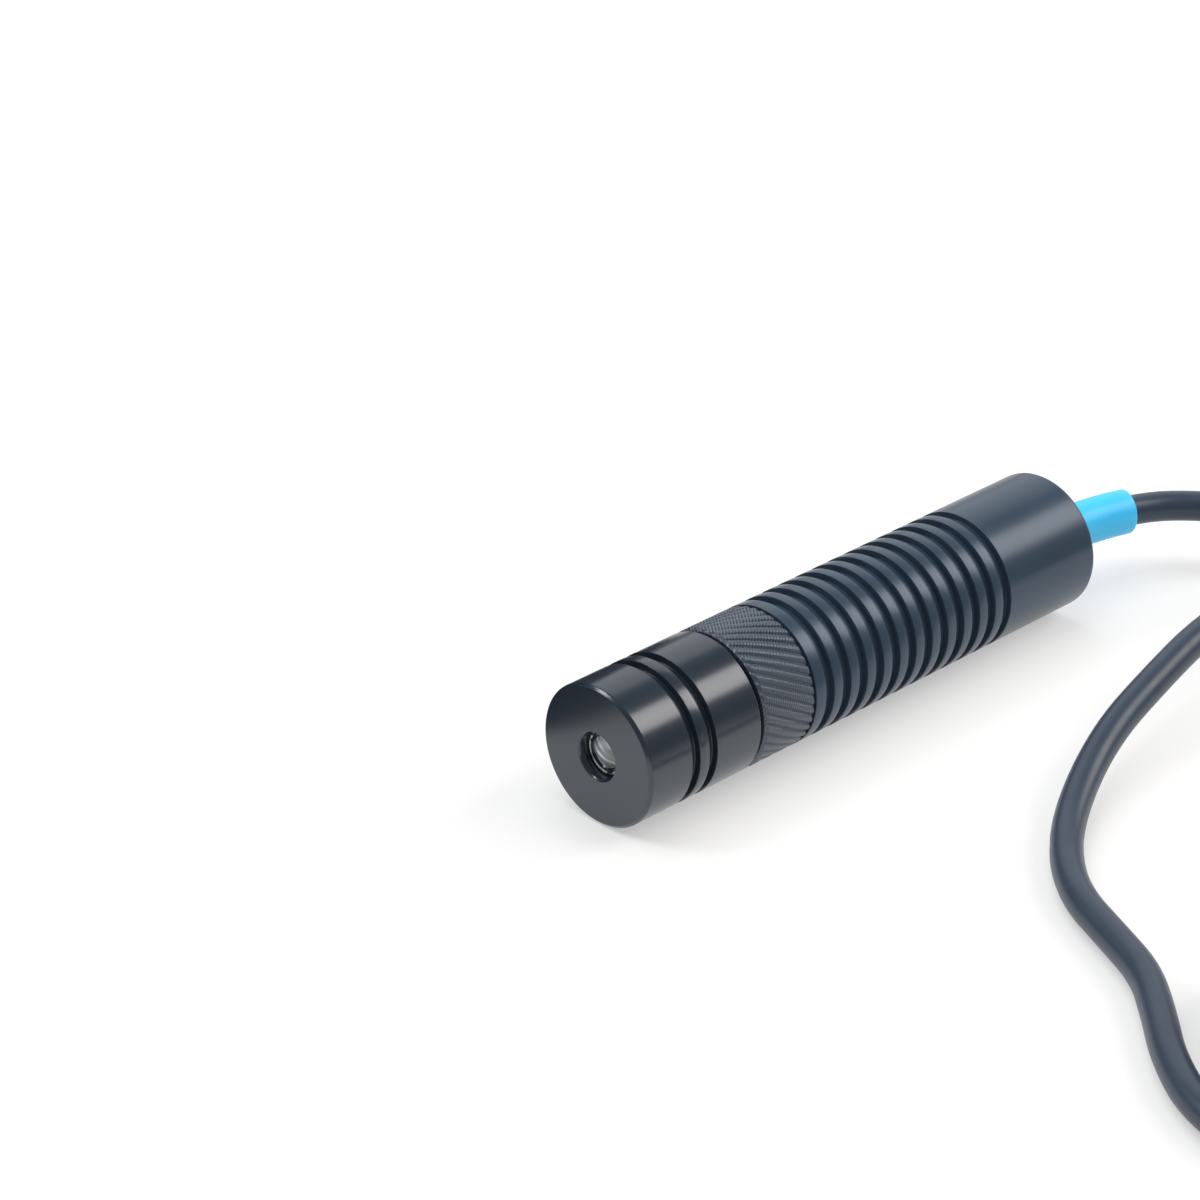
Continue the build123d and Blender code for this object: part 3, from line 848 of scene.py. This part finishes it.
def thread_recipe() -> NodeRecipe:
    """A tree that cuts a helical thread into the rings of a turned piece.

    Returns:
        The recipe.
    """
    sizes = ("Axis height", "Pitch", "Depth", "From", "To", "Crest radius")
    recipe = NodeRecipe("screw_thread", dict.fromkeys(sizes, "Float"))
    tree, given = recipe.tree, recipe.given
    parts = add_node(tree, "ShaderNodeSeparateXYZ", {0: recipe.add("GeometryNodeInputPosition")}).outputs
    up = calculate(tree, "SUBTRACT", parts["Z"], given["Axis height"])
    radius = hypotenuse(tree, parts["Y"], up)
    turn = calculate(tree, "DIVIDE", calculate(tree, "ARCTAN2", up, parts["Y"]), FULL_TURN)
    along = calculate(tree, "DIVIDE", parts["X"], given["Pitch"])
    phase = calculate(tree, "FRACT", calculate(tree, "ADD", along, turn))
    wave = calculate(tree, "ABSOLUTE", calculate(tree, "MULTIPLY_ADD", phase, 2.0, -1.0))
    after = calculate(tree, "GREATER_THAN", parts["X"], given["From"])
    before = calculate(tree, "LESS_THAN", parts["X"], given["To"])
    off_crest = calculate(tree, "ABSOLUTE", calculate(tree, "SUBTRACT", radius, given["Crest radius"]))
    near = calculate(tree, "LESS_THAN", off_crest, CREST_TOLERANCE)
    chosen = calculate(tree, "MULTIPLY", calculate(tree, "MULTIPLY", after, before), near)
    drop = calculate(tree, "MULTIPLY", calculate(tree, "MULTIPLY", wave, given["Depth"]), chosen)
    shrink = calculate(tree, "DIVIDE", calculate(tree, "SUBTRACT", radius, drop), radius)
    moved = {
        "X": parts["X"],
        "Y": calculate(tree, "MULTIPLY", parts["Y"], shrink),
        "Z": calculate(tree, "MULTIPLY_ADD", up, shrink, given["Axis height"]),
    }
    inputs = {"Geometry": given["Geometry"], "Position": recipe.add("ShaderNodeCombineXYZ", moved)}
    return recipe.finish(recipe.add("GeometryNodeSetPosition", inputs))


@dataclass
class FocusHead:
    """The head that is turned to focus, with its grip grooves, aperture, thread and lens."""

    lathe: Lathe
    shelf: FinishShelf
    radius: float = 8.0
    length: float = 16.1
    groove_stations: tuple[float, ...] = (6.0, 8.5)
    groove_width: float = 1.15
    groove_depth: float = 0.8
    front_chamfer: float = 0.35
    front_edge: float = 0.1
    edge: float = 0.08
    rear_edge: float = 0.15
    bore_edge: float = 0.1
    aperture_edges: Pair = (0.04, 0.05)
    aperture_radius: float = 2.6
    aperture_chamfer: float = 0.2
    front_wall: float = 1.3
    spigot_radius: float = 5.75
    spigot_end: float = 24.0
    bore_radius: float = 4.6
    ring_groove: tuple[float, float, float] = (21.2, 22.5, 5.0)
    lens_seat_radius: float = 3.53
    lens_radius: float = 3.5
    lens_rear: float = 2.9
    retainer_seat: Pair = (5.9, 3.8)
    thread_pitch: float = 0.5
    thread_depth: float = 0.27
    thread_plain_ends: Pair = (0.05, 0.02)
    rings_per_pitch: int = 8
    lens_front: float = 1.31
    lens_crown: float = 0.6
    lens_crown_radius: float = 1.78
    lens_crown_steps: int = 12
    lens_sharp_angle: float = 20.0
    lens_step: float = 0.16
    lens_bevel: float = 0.2
    ground_rim: Pair = (2.2, 2.42)
    rim_lift: float = 0.005

    def build(self) -> list[Piece]:
        """Make the head, its lens and the lens's ground rim."""
        return [self.shell(), self.lens(), self.lens_rim()]

    def outside(self) -> list[Corner]:
        """The corners of the outside, from the front face to the spigot's end.

        Returns:
            Station, radius and rounding of each corner.
        """
        floor = self.radius - self.groove_depth
        corners = [
            (0.0, self.radius - self.front_chamfer, self.front_edge),
            (self.front_chamfer, self.radius, self.front_edge),
        ]
        for start in self.groove_stations:
            corners += [
                (start, self.radius, self.edge),
                (start, floor, self.edge),
                (start + self.groove_width, floor, self.edge),
                (start + self.groove_width, self.radius, self.edge),
            ]
        return corners + [(self.length, self.radius, self.rear_edge), (self.length, self.spigot_radius, 0.0)]

    def thread_rings(self) -> list[Corner]:
        """Rings along the spigot, close enough to carry the thread, with the ring groove between them.

        Returns:
            Station, radius and rounding of each corner.
        """
        groove_front, groove_rear, groove_radius = self.ring_groove
        step = self.thread_pitch / self.rings_per_pitch
        corners = []
        for first, last in ((self.length, groove_front), (groove_rear, self.spigot_end)):
            count = round((last - first) / step)
            for number in range(1, count + 1):
                corners.append((first + (last - first) * number / count, self.spigot_radius, 0.0))
            if last == groove_front:
                corners += [(groove_front, groove_radius, 0.0), (groove_rear, groove_radius, 0.0)]
                corners += [(groove_rear, self.spigot_radius, 0.0)]
        return corners

    def inside(self) -> list[Corner]:
        """The corners of the bore, from the spigot's end forward to the aperture.

        Returns:
            Station, radius and rounding of each corner.
        """
        seat_end, seat_radius = self.retainer_seat
        front_edge, rear_edge = self.aperture_edges
        return [
            (self.spigot_end, self.bore_radius, self.bore_edge),
            (seat_end, self.bore_radius, 0.0),
            (seat_end, seat_radius, 0.0),
            (self.lens_rear, seat_radius, 0.0),
            (self.lens_rear, self.lens_seat_radius, 0.0),
            (self.front_wall, self.lens_seat_radius, 0.0),
            (self.front_wall, self.aperture_radius, rear_edge),
            (self.aperture_chamfer, self.aperture_radius, front_edge),
            (0.0, self.aperture_radius + self.aperture_chamfer, front_edge),
        ]

    def shell(self) -> Piece:
        """The turned head with its screw thread cut by the thread recipe.

        Returns:
            The piece, on its body.
        """
        outline = rounded_profile(self.outside() + self.thread_rings() + self.inside())
        piece = link_mesh("focus_head_shell", self.lathe.turn(outline), self.shelf.take(ANODISED))
        plain_front, plain_rear = self.thread_plain_ends
        start = (self.length - self.lathe.half_length + plain_front) * MM
        end = (self.spigot_end - self.lathe.half_length - plain_rear) * MM
        thread_recipe().apply(
            piece,
            {
                "Axis height": self.lathe.axis_height * MM,
                "Pitch": self.thread_pitch * MM,
                "Depth": self.thread_depth * MM,
                "From": start,
                "To": end,
                "Crest radius": self.spigot_radius * MM,
            },
        )
        bake(piece)
        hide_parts("front_head")
        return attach(piece, Body.HEAD.value)

    def lens(self) -> Piece:
        """The collimating lens: a crown inside a narrow step, then a flat rim, and flat behind.

        Returns:
            The piece, on its body.
        """
        foot = self.lens_front + self.lens_step
        bow = (self.lens_crown_radius**2 + self.lens_crown**2) / (2 * self.lens_crown)
        outline = [(foot - self.lens_crown, 0.0)]
        for step in range(1, self.lens_crown_steps + 1):
            across = self.lens_crown_radius * step / self.lens_crown_steps
            outline.append((foot - self.lens_crown + bow - math.sqrt(bow**2 - across**2), across))
        outline += [
            (self.lens_front, self.lens_crown_radius + self.lens_step),
            (self.lens_front, self.lens_radius - self.lens_bevel),
            (self.lens_front + self.lens_bevel, self.lens_radius),
            (self.lens_rear - self.lens_bevel / 2, self.lens_radius),
            (self.lens_rear, self.lens_radius - self.lens_bevel / 2),
            (self.lens_rear, 0.0),
        ]
        piece = link_mesh(
            "collimating_lens", self.lathe.turn(outline, closed=False), self.shelf.take(LENS_GLASS)
        )
        bake(piece, math.radians(self.lens_sharp_angle))
        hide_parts("lens")
        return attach(piece, Body.HEAD.value)

    def lens_rim(self) -> Piece:
        """The frosted ring on the lens's flat rim, left by grinding.

        Returns:
            The piece, on its body.
        """
        inner, outer = self.ground_rim
        front, rear = self.lens_front - self.rim_lift, self.lens_front + self.rim_lift
        outline = [(front, inner), (front, outer), (rear, outer), (rear, inner)]
        piece = bake(link_mesh("lens_ground_rim", self.lathe.turn(outline), self.shelf.take(GROUND_RIM)))
        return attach(piece, Body.HEAD.value)


@dataclass
class Barrel:
    """The finned barrel: a core with the tail, a row of lands and the helical knurl."""

    lathe: Lathe
    shelf: FinishShelf
    radius: float = 8.0
    front: float = 16.5
    length: float = 70.0
    bore_front_radius: float = 5.8
    bore_rear_radius: float = 6.4
    shoulder: float = 26.0
    chamfer_length: float = 0.7
    chamfer_depth: float = 0.45
    knurl_end: float = 24.1
    knurl_count: int = 42
    knurl_depth: float = 0.25
    knurl_helix: float = 30.6
    knurl_inner_drop: float = 0.6
    relief_end: float = 24.5
    relief_depth: float = 0.4
    groove_first: float = 26.0
    groove_pitch: float = 2.58
    groove_width: float = 1.28
    groove_depth: float = 0.7
    groove_count: int = 12
    land_edge: float = 0.08
    rear_rounding: float = 0.5
    sunk: float = 0.05
    knurl_weld: float = 0.002
    tooth_half: tuple[Pair, ...] = (
        (0.0, 1.0),
        (0.05, 0.94),
        (0.1, 0.78),
        (0.16, 0.5),
        (0.22, 0.24),
        (0.28, 0.09),
        (0.36, 0.02),
    )
    tooth_stations: int = 28

    def build(self) -> list[Piece]:
        """Make the core, the lands and the knurl."""
        return [self.core(), self.lands(), self.knurl()]

    def core(self) -> Piece:
        """The tube with its first land, its grooves' floor, the tail and the stepped bore.

        Returns:
            The piece, on its body.
        """
        floor = self.radius - self.groove_depth
        grooves_end = self.groove_first + (self.groove_count - 1) * self.groove_pitch + self.groove_width
        under_knurl = self.radius - self.knurl_inner_drop + self.sunk
        relief = self.radius - self.relief_depth
        edge = self.land_edge
        corners = [
            (self.front + self.sunk, under_knurl, 0.0),
            (self.knurl_end - self.sunk, under_knurl, 0.0),
            (self.knurl_end - self.sunk, relief, 0.0),
            (self.relief_end, relief, 0.0),
            (self.relief_end, self.radius, edge),
            (self.groove_first, self.radius, edge),
            (self.groove_first, floor, edge),
            (grooves_end, floor, edge),
            (grooves_end, self.radius, edge),
            (self.length, self.radius, self.rear_rounding),
            (self.length, self.bore_rear_radius, edge),
            (self.shoulder, self.bore_rear_radius, 0.0),
            (self.shoulder, self.bore_front_radius, 0.0),
            (self.front + self.sunk, self.bore_front_radius, 0.0),
        ]
        form = self.lathe.turn(rounded_profile(corners, steps=4))
        piece = bake(link_mesh("barrel_core", form, self.shelf.take(ANODISED_BARREL)))
        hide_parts("barrel")
        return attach(piece, Body.HOUSING.value)

    def lands(self) -> Piece:
        """The lands between the cooling grooves, repeated along the barrel.

        Returns:
            The piece, on its body.
        """
        start = self.groove_first + self.groove_width
        end = self.groove_first + self.groove_pitch
        floor = self.radius - self.groove_depth - self.sunk
        corners = [
            (start, floor, 0.0),
            (start, self.radius, self.land_edge),
            (end, self.radius, self.land_edge),
            (end, floor, 0.0),
        ]
        form = self.lathe.turn(rounded_profile(corners))
        piece = link_mesh("barrel_lands", form, self.shelf.take(ANODISED_BARREL))
        row_recipe().apply(piece, {"Count": self.groove_count - 1, "Pitch": self.groove_pitch * MM})
        bake(piece)
        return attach(piece, Body.HOUSING.value)

    def outer_limit(self, station: float) -> float:
        """The radius that the front chamfer leaves at a station."""
        cut = 1 - (station - self.front) / self.chamfer_length
        return self.radius - self.chamfer_depth * max(0.0, min(1.0, cut))

    def knurl(self) -> Piece:
        """One twisted tooth, repeated round the barrel into the knurl band.

        Returns:
            The piece, on its body.
        """
        piece = link_mesh("barrel_knurl", self.tooth(), self.shelf.take(ANODISED_KNURL))
        knurl_recipe().apply(
            piece,
            {
                "Count": self.knurl_count,
                "Axis height": self.lathe.axis_height * MM,
                "Weld distance": self.knurl_weld * MM,
            },
        )
        bake(piece)
        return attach(piece, Body.HOUSING.value)

    def tooth(self) -> Form:
        """One tooth of the knurl, twisted along the band, with the front chamfer cut into it.

        Returns:
            The tooth's mesh, in metres.
        """
        form = bmesh.new()
        section = [*self.tooth_half, (0.5, 0.0)]
        section += [(1 - share, drop) for share, drop in reversed(self.tooth_half)]
        step = FULL_TURN / self.knurl_count
        inner = self.radius - self.knurl_inner_drop
        run = self.knurl_end - self.front
        stations = sorted(
            {self.front, self.front + self.chamfer_length}
            | {self.front + run * n / self.tooth_stations for n in range(self.tooth_stations + 1)}
        )
        slices = []
        for station in stations:
            twist = (station - self.front) * math.tan(math.radians(self.knurl_helix)) / self.radius
            outer_row, inner_row = [], []
            for share, drop in section:
                angle = twist + share * step
                tall = min(self.radius - drop * self.knurl_depth, self.outer_limit(station))
                for row, radius in ((outer_row, tall), (inner_row, inner)):
                    across, up = -radius * math.sin(angle), radius * math.cos(angle)
                    along = station - self.lathe.half_length
                    row.append(form.verts.new(Vector((along, across, up)) * MM))
            slices.append(outer_row + inner_row[::-1])
        across_count = len(section)
        for near, far in zip(slices, slices[1:]):
            for number in range(across_count - 1):
                for first in (number, number + across_count):
                    form.faces.new([near[first], near[first + 1], far[first + 1], far[first]])
        for end in (slices[0], slices[-1]):
            for number in range(across_count - 1):
                low = 2 * across_count - 1 - number
                form.faces.new([end[number], end[number + 1], end[low - 1], end[low]])
        return form


@dataclass
class Lead:
    """The round lead: one smooth cord from the tail, through its coil, to the socket."""

    shelf: FinishShelf
    diameter: float = 3.5
    exit: Point = (35.0, 0.0, 8.0)
    free_length: float = 850.0
    coil_centre: Pair = (-5.3, -88.0)
    coil_radii: tuple[float, ...] = (22.75, 19.25, 15.75)
    coil_heights: Pair = (2.45, 5.95)
    coil_entry: float = 205.0
    coil_turns: float = 1925.0 / 360.0
    points_per_turn: int = 30
    shift_share: float = 0.12
    sleeve_radius: float = 2.6
    sleeve_from: float = 2.0
    sleeve_to: float = 19.1
    sleeve_rounding: float = 0.45
    sleeve_rounding_steps: int = 6
    sleeve_clearance: float = 0.02
    sleeve_segments: int = 64
    section_steps: int = 7
    steps_per_point: int = 6
    route: tuple[Point, ...] = (
        (29.0, 0.0, 8.0),
        (38.2, 0.0, 8.0),
        (50.0, -2.25, 7.7),
        (55.7, -7.6, 7.75),
        (57.9, -13.4, 8.0),
        (57.3, -19.3, 8.4),
        (54.1, -24.0, 8.7),
        (48.4, -26.6, 8.9),
        (39.7, -26.5, 8.9),
        (29.9, -26.9, 8.3),
        (20.6, -28.4, 6.9),
        (11.3, -30.0, 5.1),
        (2.4, -33.3, 3.1),
        (-5.7, -38.1, 1.9),
        (-12.1, -44.8, 1.8),
        (-15.4, -52.6, 1.8),
        (-18.2, -59.0, 1.8),
        (-22.8, -64.3, 1.8),
        (-27.6, -69.3, 1.8),
        (-31.8, -75.7, 1.8),
        (-33.5, -82.8, 2.0),
        (-30.4, -89.8, 2.2),
    )
    tail: tuple[Point, ...] = (
        (17.9, -93.3, 5.8),
        (22.4, -90.2, 5.5),
        (27.8, -89.0, 5.2),
        (32.3, -85.86, 4.85),
        (35.8, -79.8, 4.85),
    )

    def coil_points(self) -> list[Point]:
        """Points of the coil's turns: three inwards on the lower layer, then outwards on the upper one.

        Returns:
            The points, in millimetres.
        """
        outer, middle, inner = self.coil_radii
        low, high = self.coil_heights
        share = self.shift_share
        columns = [
            (1 - share, outer, middle),
            (2 - share, middle, inner),
            (4 - 3 * share, inner, middle),
            (5 - 3 * share, middle, outer),
        ]
        climb = 3 - 2 * share
        points = []
        count = math.ceil(self.coil_turns * self.points_per_turn)
        for number in range(count + 1):
            turns = self.coil_turns * number / count
            radius = outer
            for start, before, after in columns:
                radius += (after - before) * ease((turns - start) / share)
            height = low + (high - low) * ease((turns - climb) / share)
            angle = math.radians(self.coil_entry) + FULL_TURN * turns
            across = self.coil_centre[0] + radius * math.cos(angle)
            along = self.coil_centre[1] + radius * math.sin(angle)
            points.append((across, along, height))
        return points

    def build(self) -> list[Piece]:
        """Make the cord and the sleeve that is shrunk on it.

        Returns:
            The cord and the sleeve.
        """
        cord = self.cord()
        sleeve = self.sleeve(cord)
        tuple(place * MM for place in self.exit)
        return [cord, sleeve]

    def cord(self) -> Piece:
        """The cord as one smooth spline with a round section.

        Returns:
            The piece, on its body.
        """
        points = [*self.route, *self.coil_points(), *self.tail]
        curve = bpy.data.curves.new("lead_cord", "CURVE")
        curve.dimensions = "3D"
        curve.bevel_depth = self.diameter / 2 * MM
        curve.bevel_resolution = self.section_steps
        curve.resolution_u = self.steps_per_point
        curve.use_fill_caps = True
        spline = curve.splines.new("NURBS")
        spline.points.add(len(points) - 1)
        for knot, place in zip(spline.points, points):
            knot.co = (*(value * MM for value in place), 1.0)
        spline.order_u = 3
        spline.use_endpoint_u = True
        curve.materials.append(self.shelf.take(LEAD_JACKET))
        piece = bpy.data.objects.new("lead_cord", curve)
        bpy.context.scene.collection.objects.link(piece)
        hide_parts("lead", "lead_coil", "lead_tail")
        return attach(piece, Body.HOUSING.value)

    def centre_line(self, cord: Piece) -> list[Vector]:
        """Points along the middle of the cord.

        Args:
            cord: the cord's curve.

        Returns:
            The points in metres, in order from the tail.
        """
        bare = cord.copy()
        bare.data = cord.data.copy()
        bare.data.bevel_depth = 0.0
        bpy.context.scene.collection.objects.link(bare)
        bare.parent = None
        graph = bpy.context.evaluated_depsgraph_get()
        line = bpy.data.meshes.new_from_object(bare.evaluated_get(graph))
        places = [vertex.co.copy() for vertex in line.vertices]
        bpy.data.meshes.remove(line)
        bpy.data.objects.remove(bare)
        return places

    def sleeve(self, cord: Piece) -> Piece:
        """The bright sleeve round the first stretch of the cord, with a rounded free end.

        Args:
            cord: the cord's curve.

        Returns:
            The piece, on its body.
        """
        line = self.centre_line(cord)
        travelled, stations = 0.0, []
        for near, far in zip(line, line[1:]):
            run = (far - near).length
            aim = (far - near) / run
            for stop in (self.sleeve_from * MM, self.sleeve_to * MM):
                if travelled < stop < travelled + run:
                    stations.append((stop, near + aim * (stop - travelled), aim))
            travelled += run
            if self.sleeve_from * MM < travelled < self.sleeve_to * MM:
                stations.append((travelled, far.copy(), aim))
        last, end, end_aim = stations[-1]
        form = bmesh.new()
        rings = [
            self.section_ring(form, place, aim, self.sleeve_radius)
            for distance, place, aim in stations
            if (last - distance) / MM > self.sleeve_rounding
        ]
        for step in range(1, self.sleeve_rounding_steps + 1):
            quarter = math.pi / 2 * step / self.sleeve_rounding_steps
            place = end - end_aim * self.sleeve_rounding * (1 - math.sin(quarter)) * MM
            radius = self.sleeve_radius - self.sleeve_rounding * (1 - math.cos(quarter))
            rings.append(self.section_ring(form, place, end_aim, radius))
        bore = self.diameter / 2 + self.sleeve_clearance
        rings.append(self.section_ring(form, end, end_aim, bore))
        rings.append(self.section_ring(form, stations[0][1], stations[0][2], bore))
        for near, far in zip(rings, rings[1:] + rings[:1]):
            bridge(form, near, far)
        piece = bake(link_mesh("cable_sleeve_skin", form, self.shelf.take(BLUE_SLEEVE)))
        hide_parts("cable_sleeve")
        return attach(piece, Body.HOUSING.value)

    def section_ring(
        self, form: Form, place: Vector, aim: Vector, radius: float
    ) -> Ring:
        """A ring of vertices square to the cord.

        Args:
            form: the mesh that gets them.
            place: the ring's middle, in metres.
            aim: the cord's direction there.
            radius: the ring's radius, in millimetres.

        Returns:
            The vertices in order.
        """
        side = aim.cross(Vector((0, 0, 1))).normalized()
        over = side.cross(aim).normalized()
        ring = []
        for number in range(self.sleeve_segments):
            angle = FULL_TURN * number / self.sleeve_segments
            offset = (side * math.cos(angle) + over * math.sin(angle)) * radius * MM
            ring.append(form.verts.new(place + offset))
        return ring


def ease(share: float) -> float:
    """A smooth step from zero to one."""
    held = max(0.0, min(1.0, share))
    return held * held * (3 - 2 * held)


@dataclass
class PackedParts:
    """The CAD nodes that keep their own shape and only get a finish."""

    nodes: dict[str, Piece]
    shelf: FinishShelf

    def dress(self) -> list[Piece]:
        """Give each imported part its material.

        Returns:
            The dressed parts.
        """
        dressed = []
        for name, finish in NODE_FINISHES.items():
            part = self.nodes[name]
            part.data.materials.clear()
            part.data.materials.append(self.shelf.take(finish))
            dressed.append(part)
        return dressed


@dataclass(frozen=True)
class Softbox:
    """A soft rectangular lamp that hangs over the module with its long side along the beam axis."""

    name: str
    aim: Point
    distance: float
    length: float
    width: float
    radiance: float
    colour: str = "#ffffff"
    mirrored: bool = True

    def hang(self) -> None:
        """Add the lamp to the scene, facing the module."""
        data = bpy.data.lights.new(self.name, "AREA")
        data.shape = "RECTANGLE"
        data.size, data.size_y = self.length, self.width
        data.color = linear(self.colour)[:3]
        data.energy = self.radiance * math.pi * self.length * self.width
        lamp = bpy.data.objects.new(self.name, data)
        away = Vector(self.aim).normalized()
        along = (Vector((1, 0, 0)) - away * away.x).normalized()
        lamp.matrix_world = Matrix((along, away.cross(along), away)).transposed().to_4x4()
        lamp.location = away * self.distance
        lamp.visible_glossy = self.mirrored
        bpy.context.scene.collection.objects.link(lamp)


@dataclass
class Studio:
    """Camera, lamps and floor of a plain product picture."""

    camera_place: Point = (-278.2, -252.1, 214.7)
    camera_aim: Point = (0.6121, 0.6332, -0.4737)
    lens_mm: float = 118.77
    sensor_mm: float = 36.0
    nearest_seen: float = 0.005
    floor_size: float = 3.0
    floor_colour: str = "#f6f6f5"
    floor_lift: float = 0.45
    floor_mirror_lift: float = 0.6
    room_strength: float = 0.2
    room_colour: str = "#eef3fa"
    lamps: tuple[Softbox, ...] = (
        Softbox("streak_softbox", (0.62, -0.43, 0.66), 0.6, 0.6, 0.27, 4.4, "#fff9f3"),
        Softbox("back_softbox", (0.61, 0.6, 0.52), 0.8, 0.9, 0.62, 0.85),
        Softbox("top_softbox", (-0.1, 0.15, 0.98), 0.9, 0.8, 0.8, 2.6, mirrored=False),
        Softbox("glint_softbox", (-0.53, 0.53, 0.66), 0.7, 0.24, 0.24, 7.0),
    )
    card_tops: tuple[Point, ...] = (
        (-62.0, 14.2, 14.0),
        (-53.5, 14.6, 16.0),
        (-48.0, 15.6, 32.0),
        (-8.5, 34.5, 31.0),
        (11.0, 42.5, 24.0),
    )
    card_colour: str = "#15181d"
    card_roughness: float = 0.8

    def build(self) -> None:
        """Make the camera first, then the lamps, the room, the floor and the dark card."""
        self.camera()
        for lamp in self.lamps:
            lamp.hang()
        self.room()
        self.floor()
        self.card()
        bpy.context.scene.view_settings.view_transform = "Standard"

    def camera(self) -> None:
        """Place the camera at the photograph's angle."""
        data = bpy.data.cameras.new("camera")
        data.lens = self.lens_mm
        data.sensor_width = self.sensor_mm
        data.clip_start = self.nearest_seen
        camera = bpy.data.objects.new("camera", data)
        camera.location = Vector(self.camera_place) * MM
        camera.rotation_mode = "QUATERNION"
        camera.rotation_quaternion = Vector(self.camera_aim).to_track_quat("-Z", "Y")
        bpy.context.scene.collection.objects.link(camera)
        bpy.context.scene.camera = camera

    def room(self) -> None:
        """A soft grey room for light, and a white one behind the picture."""
        world = bpy.data.worlds.new("room")
        world.use_nodes = True
        tree = world.node_tree
        tree.nodes.clear()
        ray = add_node(tree, "ShaderNodeLightPath").outputs
        soft_light = {"Color": linear(self.room_colour), "Strength": self.room_strength}
        soft = add_node(tree, "ShaderNodeBackground", soft_light).outputs[0]
        white_light = {"Color": linear("#ffffff"), "Strength": 1.0}
        white = add_node(tree, "ShaderNodeBackground", white_light).outputs[0]
        mixed = add_node(tree, "ShaderNodeMixShader", {0: ray["Is Camera Ray"], 1: soft, 2: white})
        add_node(tree, "ShaderNodeOutputWorld", {"Surface": mixed.outputs[0]})
        bpy.context.scene.world = world

    def floor(self) -> None:
        """A pale floor that shows white to the camera and keeps the module's shadow."""
        material = bpy.data.materials.new("pale_floor")
        material.use_nodes = True
        tree = material.node_tree
        tree.nodes.clear()
        ray = add_node(tree, "ShaderNodeLightPath").outputs
        seen = calculate(tree, "MAXIMUM", ray["Is Camera Ray"], ray["Is Transmission Ray"])
        seen = calculate(tree, "MULTIPLY", seen, self.floor_lift)
        mirrored = calculate(tree, "MULTIPLY", ray["Is Glossy Ray"], self.floor_mirror_lift)
        lifted = calculate(tree, "MAXIMUM", seen, mirrored)
        matt = add_node(tree, "ShaderNodeBsdfDiffuse", {"Color": linear(self.floor_colour)}).outputs[0]
        white = add_node(tree, "ShaderNodeEmission", {"Strength": 1.0}).outputs[0]
        mixed = add_node(tree, "ShaderNodeMixShader", {0: lifted, 1: matt, 2: white})
        add_node(tree, "ShaderNodeOutputMaterial", {"Surface": mixed.outputs[0]})
        form = bmesh.new()
        bmesh.ops.create_grid(form, x_segments=1, y_segments=1, size=self.floor_size)
        link_mesh("floor", form, material)

    def card(self) -> None:
        """A folded dark card that only reflections see.

        It stands to the left of the module and darkens the top of the head and of its front face.
        """
        surface = Surface("dark_card")
        surface.set({"Base Color": linear(self.card_colour), "Roughness": self.card_roughness})
        form = bmesh.new()
        tops = [form.verts.new(Vector(corner) * MM) for corner in self.card_tops]
        feet = [form.verts.new(Vector((*corner[:2], 0.0)) * MM) for corner in self.card_tops]
        for number in range(len(tops) - 1):
            form.faces.new([feet[number], feet[number + 1], tops[number + 1], tops[number]])
        card = link_mesh("dark_card", form, surface.material)
        card.visible_camera = False
        card.visible_diffuse = False
        card.visible_shadow = False


def main() -> None:
    """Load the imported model, build the scene round it and report each piece."""
    logging.basicConfig(level=logging.INFO, format="%(message)s")
    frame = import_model()
    shelf = FinishShelf()
    Studio().build()
    lathe = Lathe()
    builders: list[Callable[[], list[Piece]]] = [
        Lead(shelf).build,
        FocusHead(lathe, shelf).build,
        Barrel(lathe, shelf).build,
        PackedParts(frame["nodes"], shelf).dress,
    ]
    for build in builders:
        for piece in build():
            LOG.info("%s rides on %s", piece.name, piece["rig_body"])


if __name__ == "__main__":
    main()
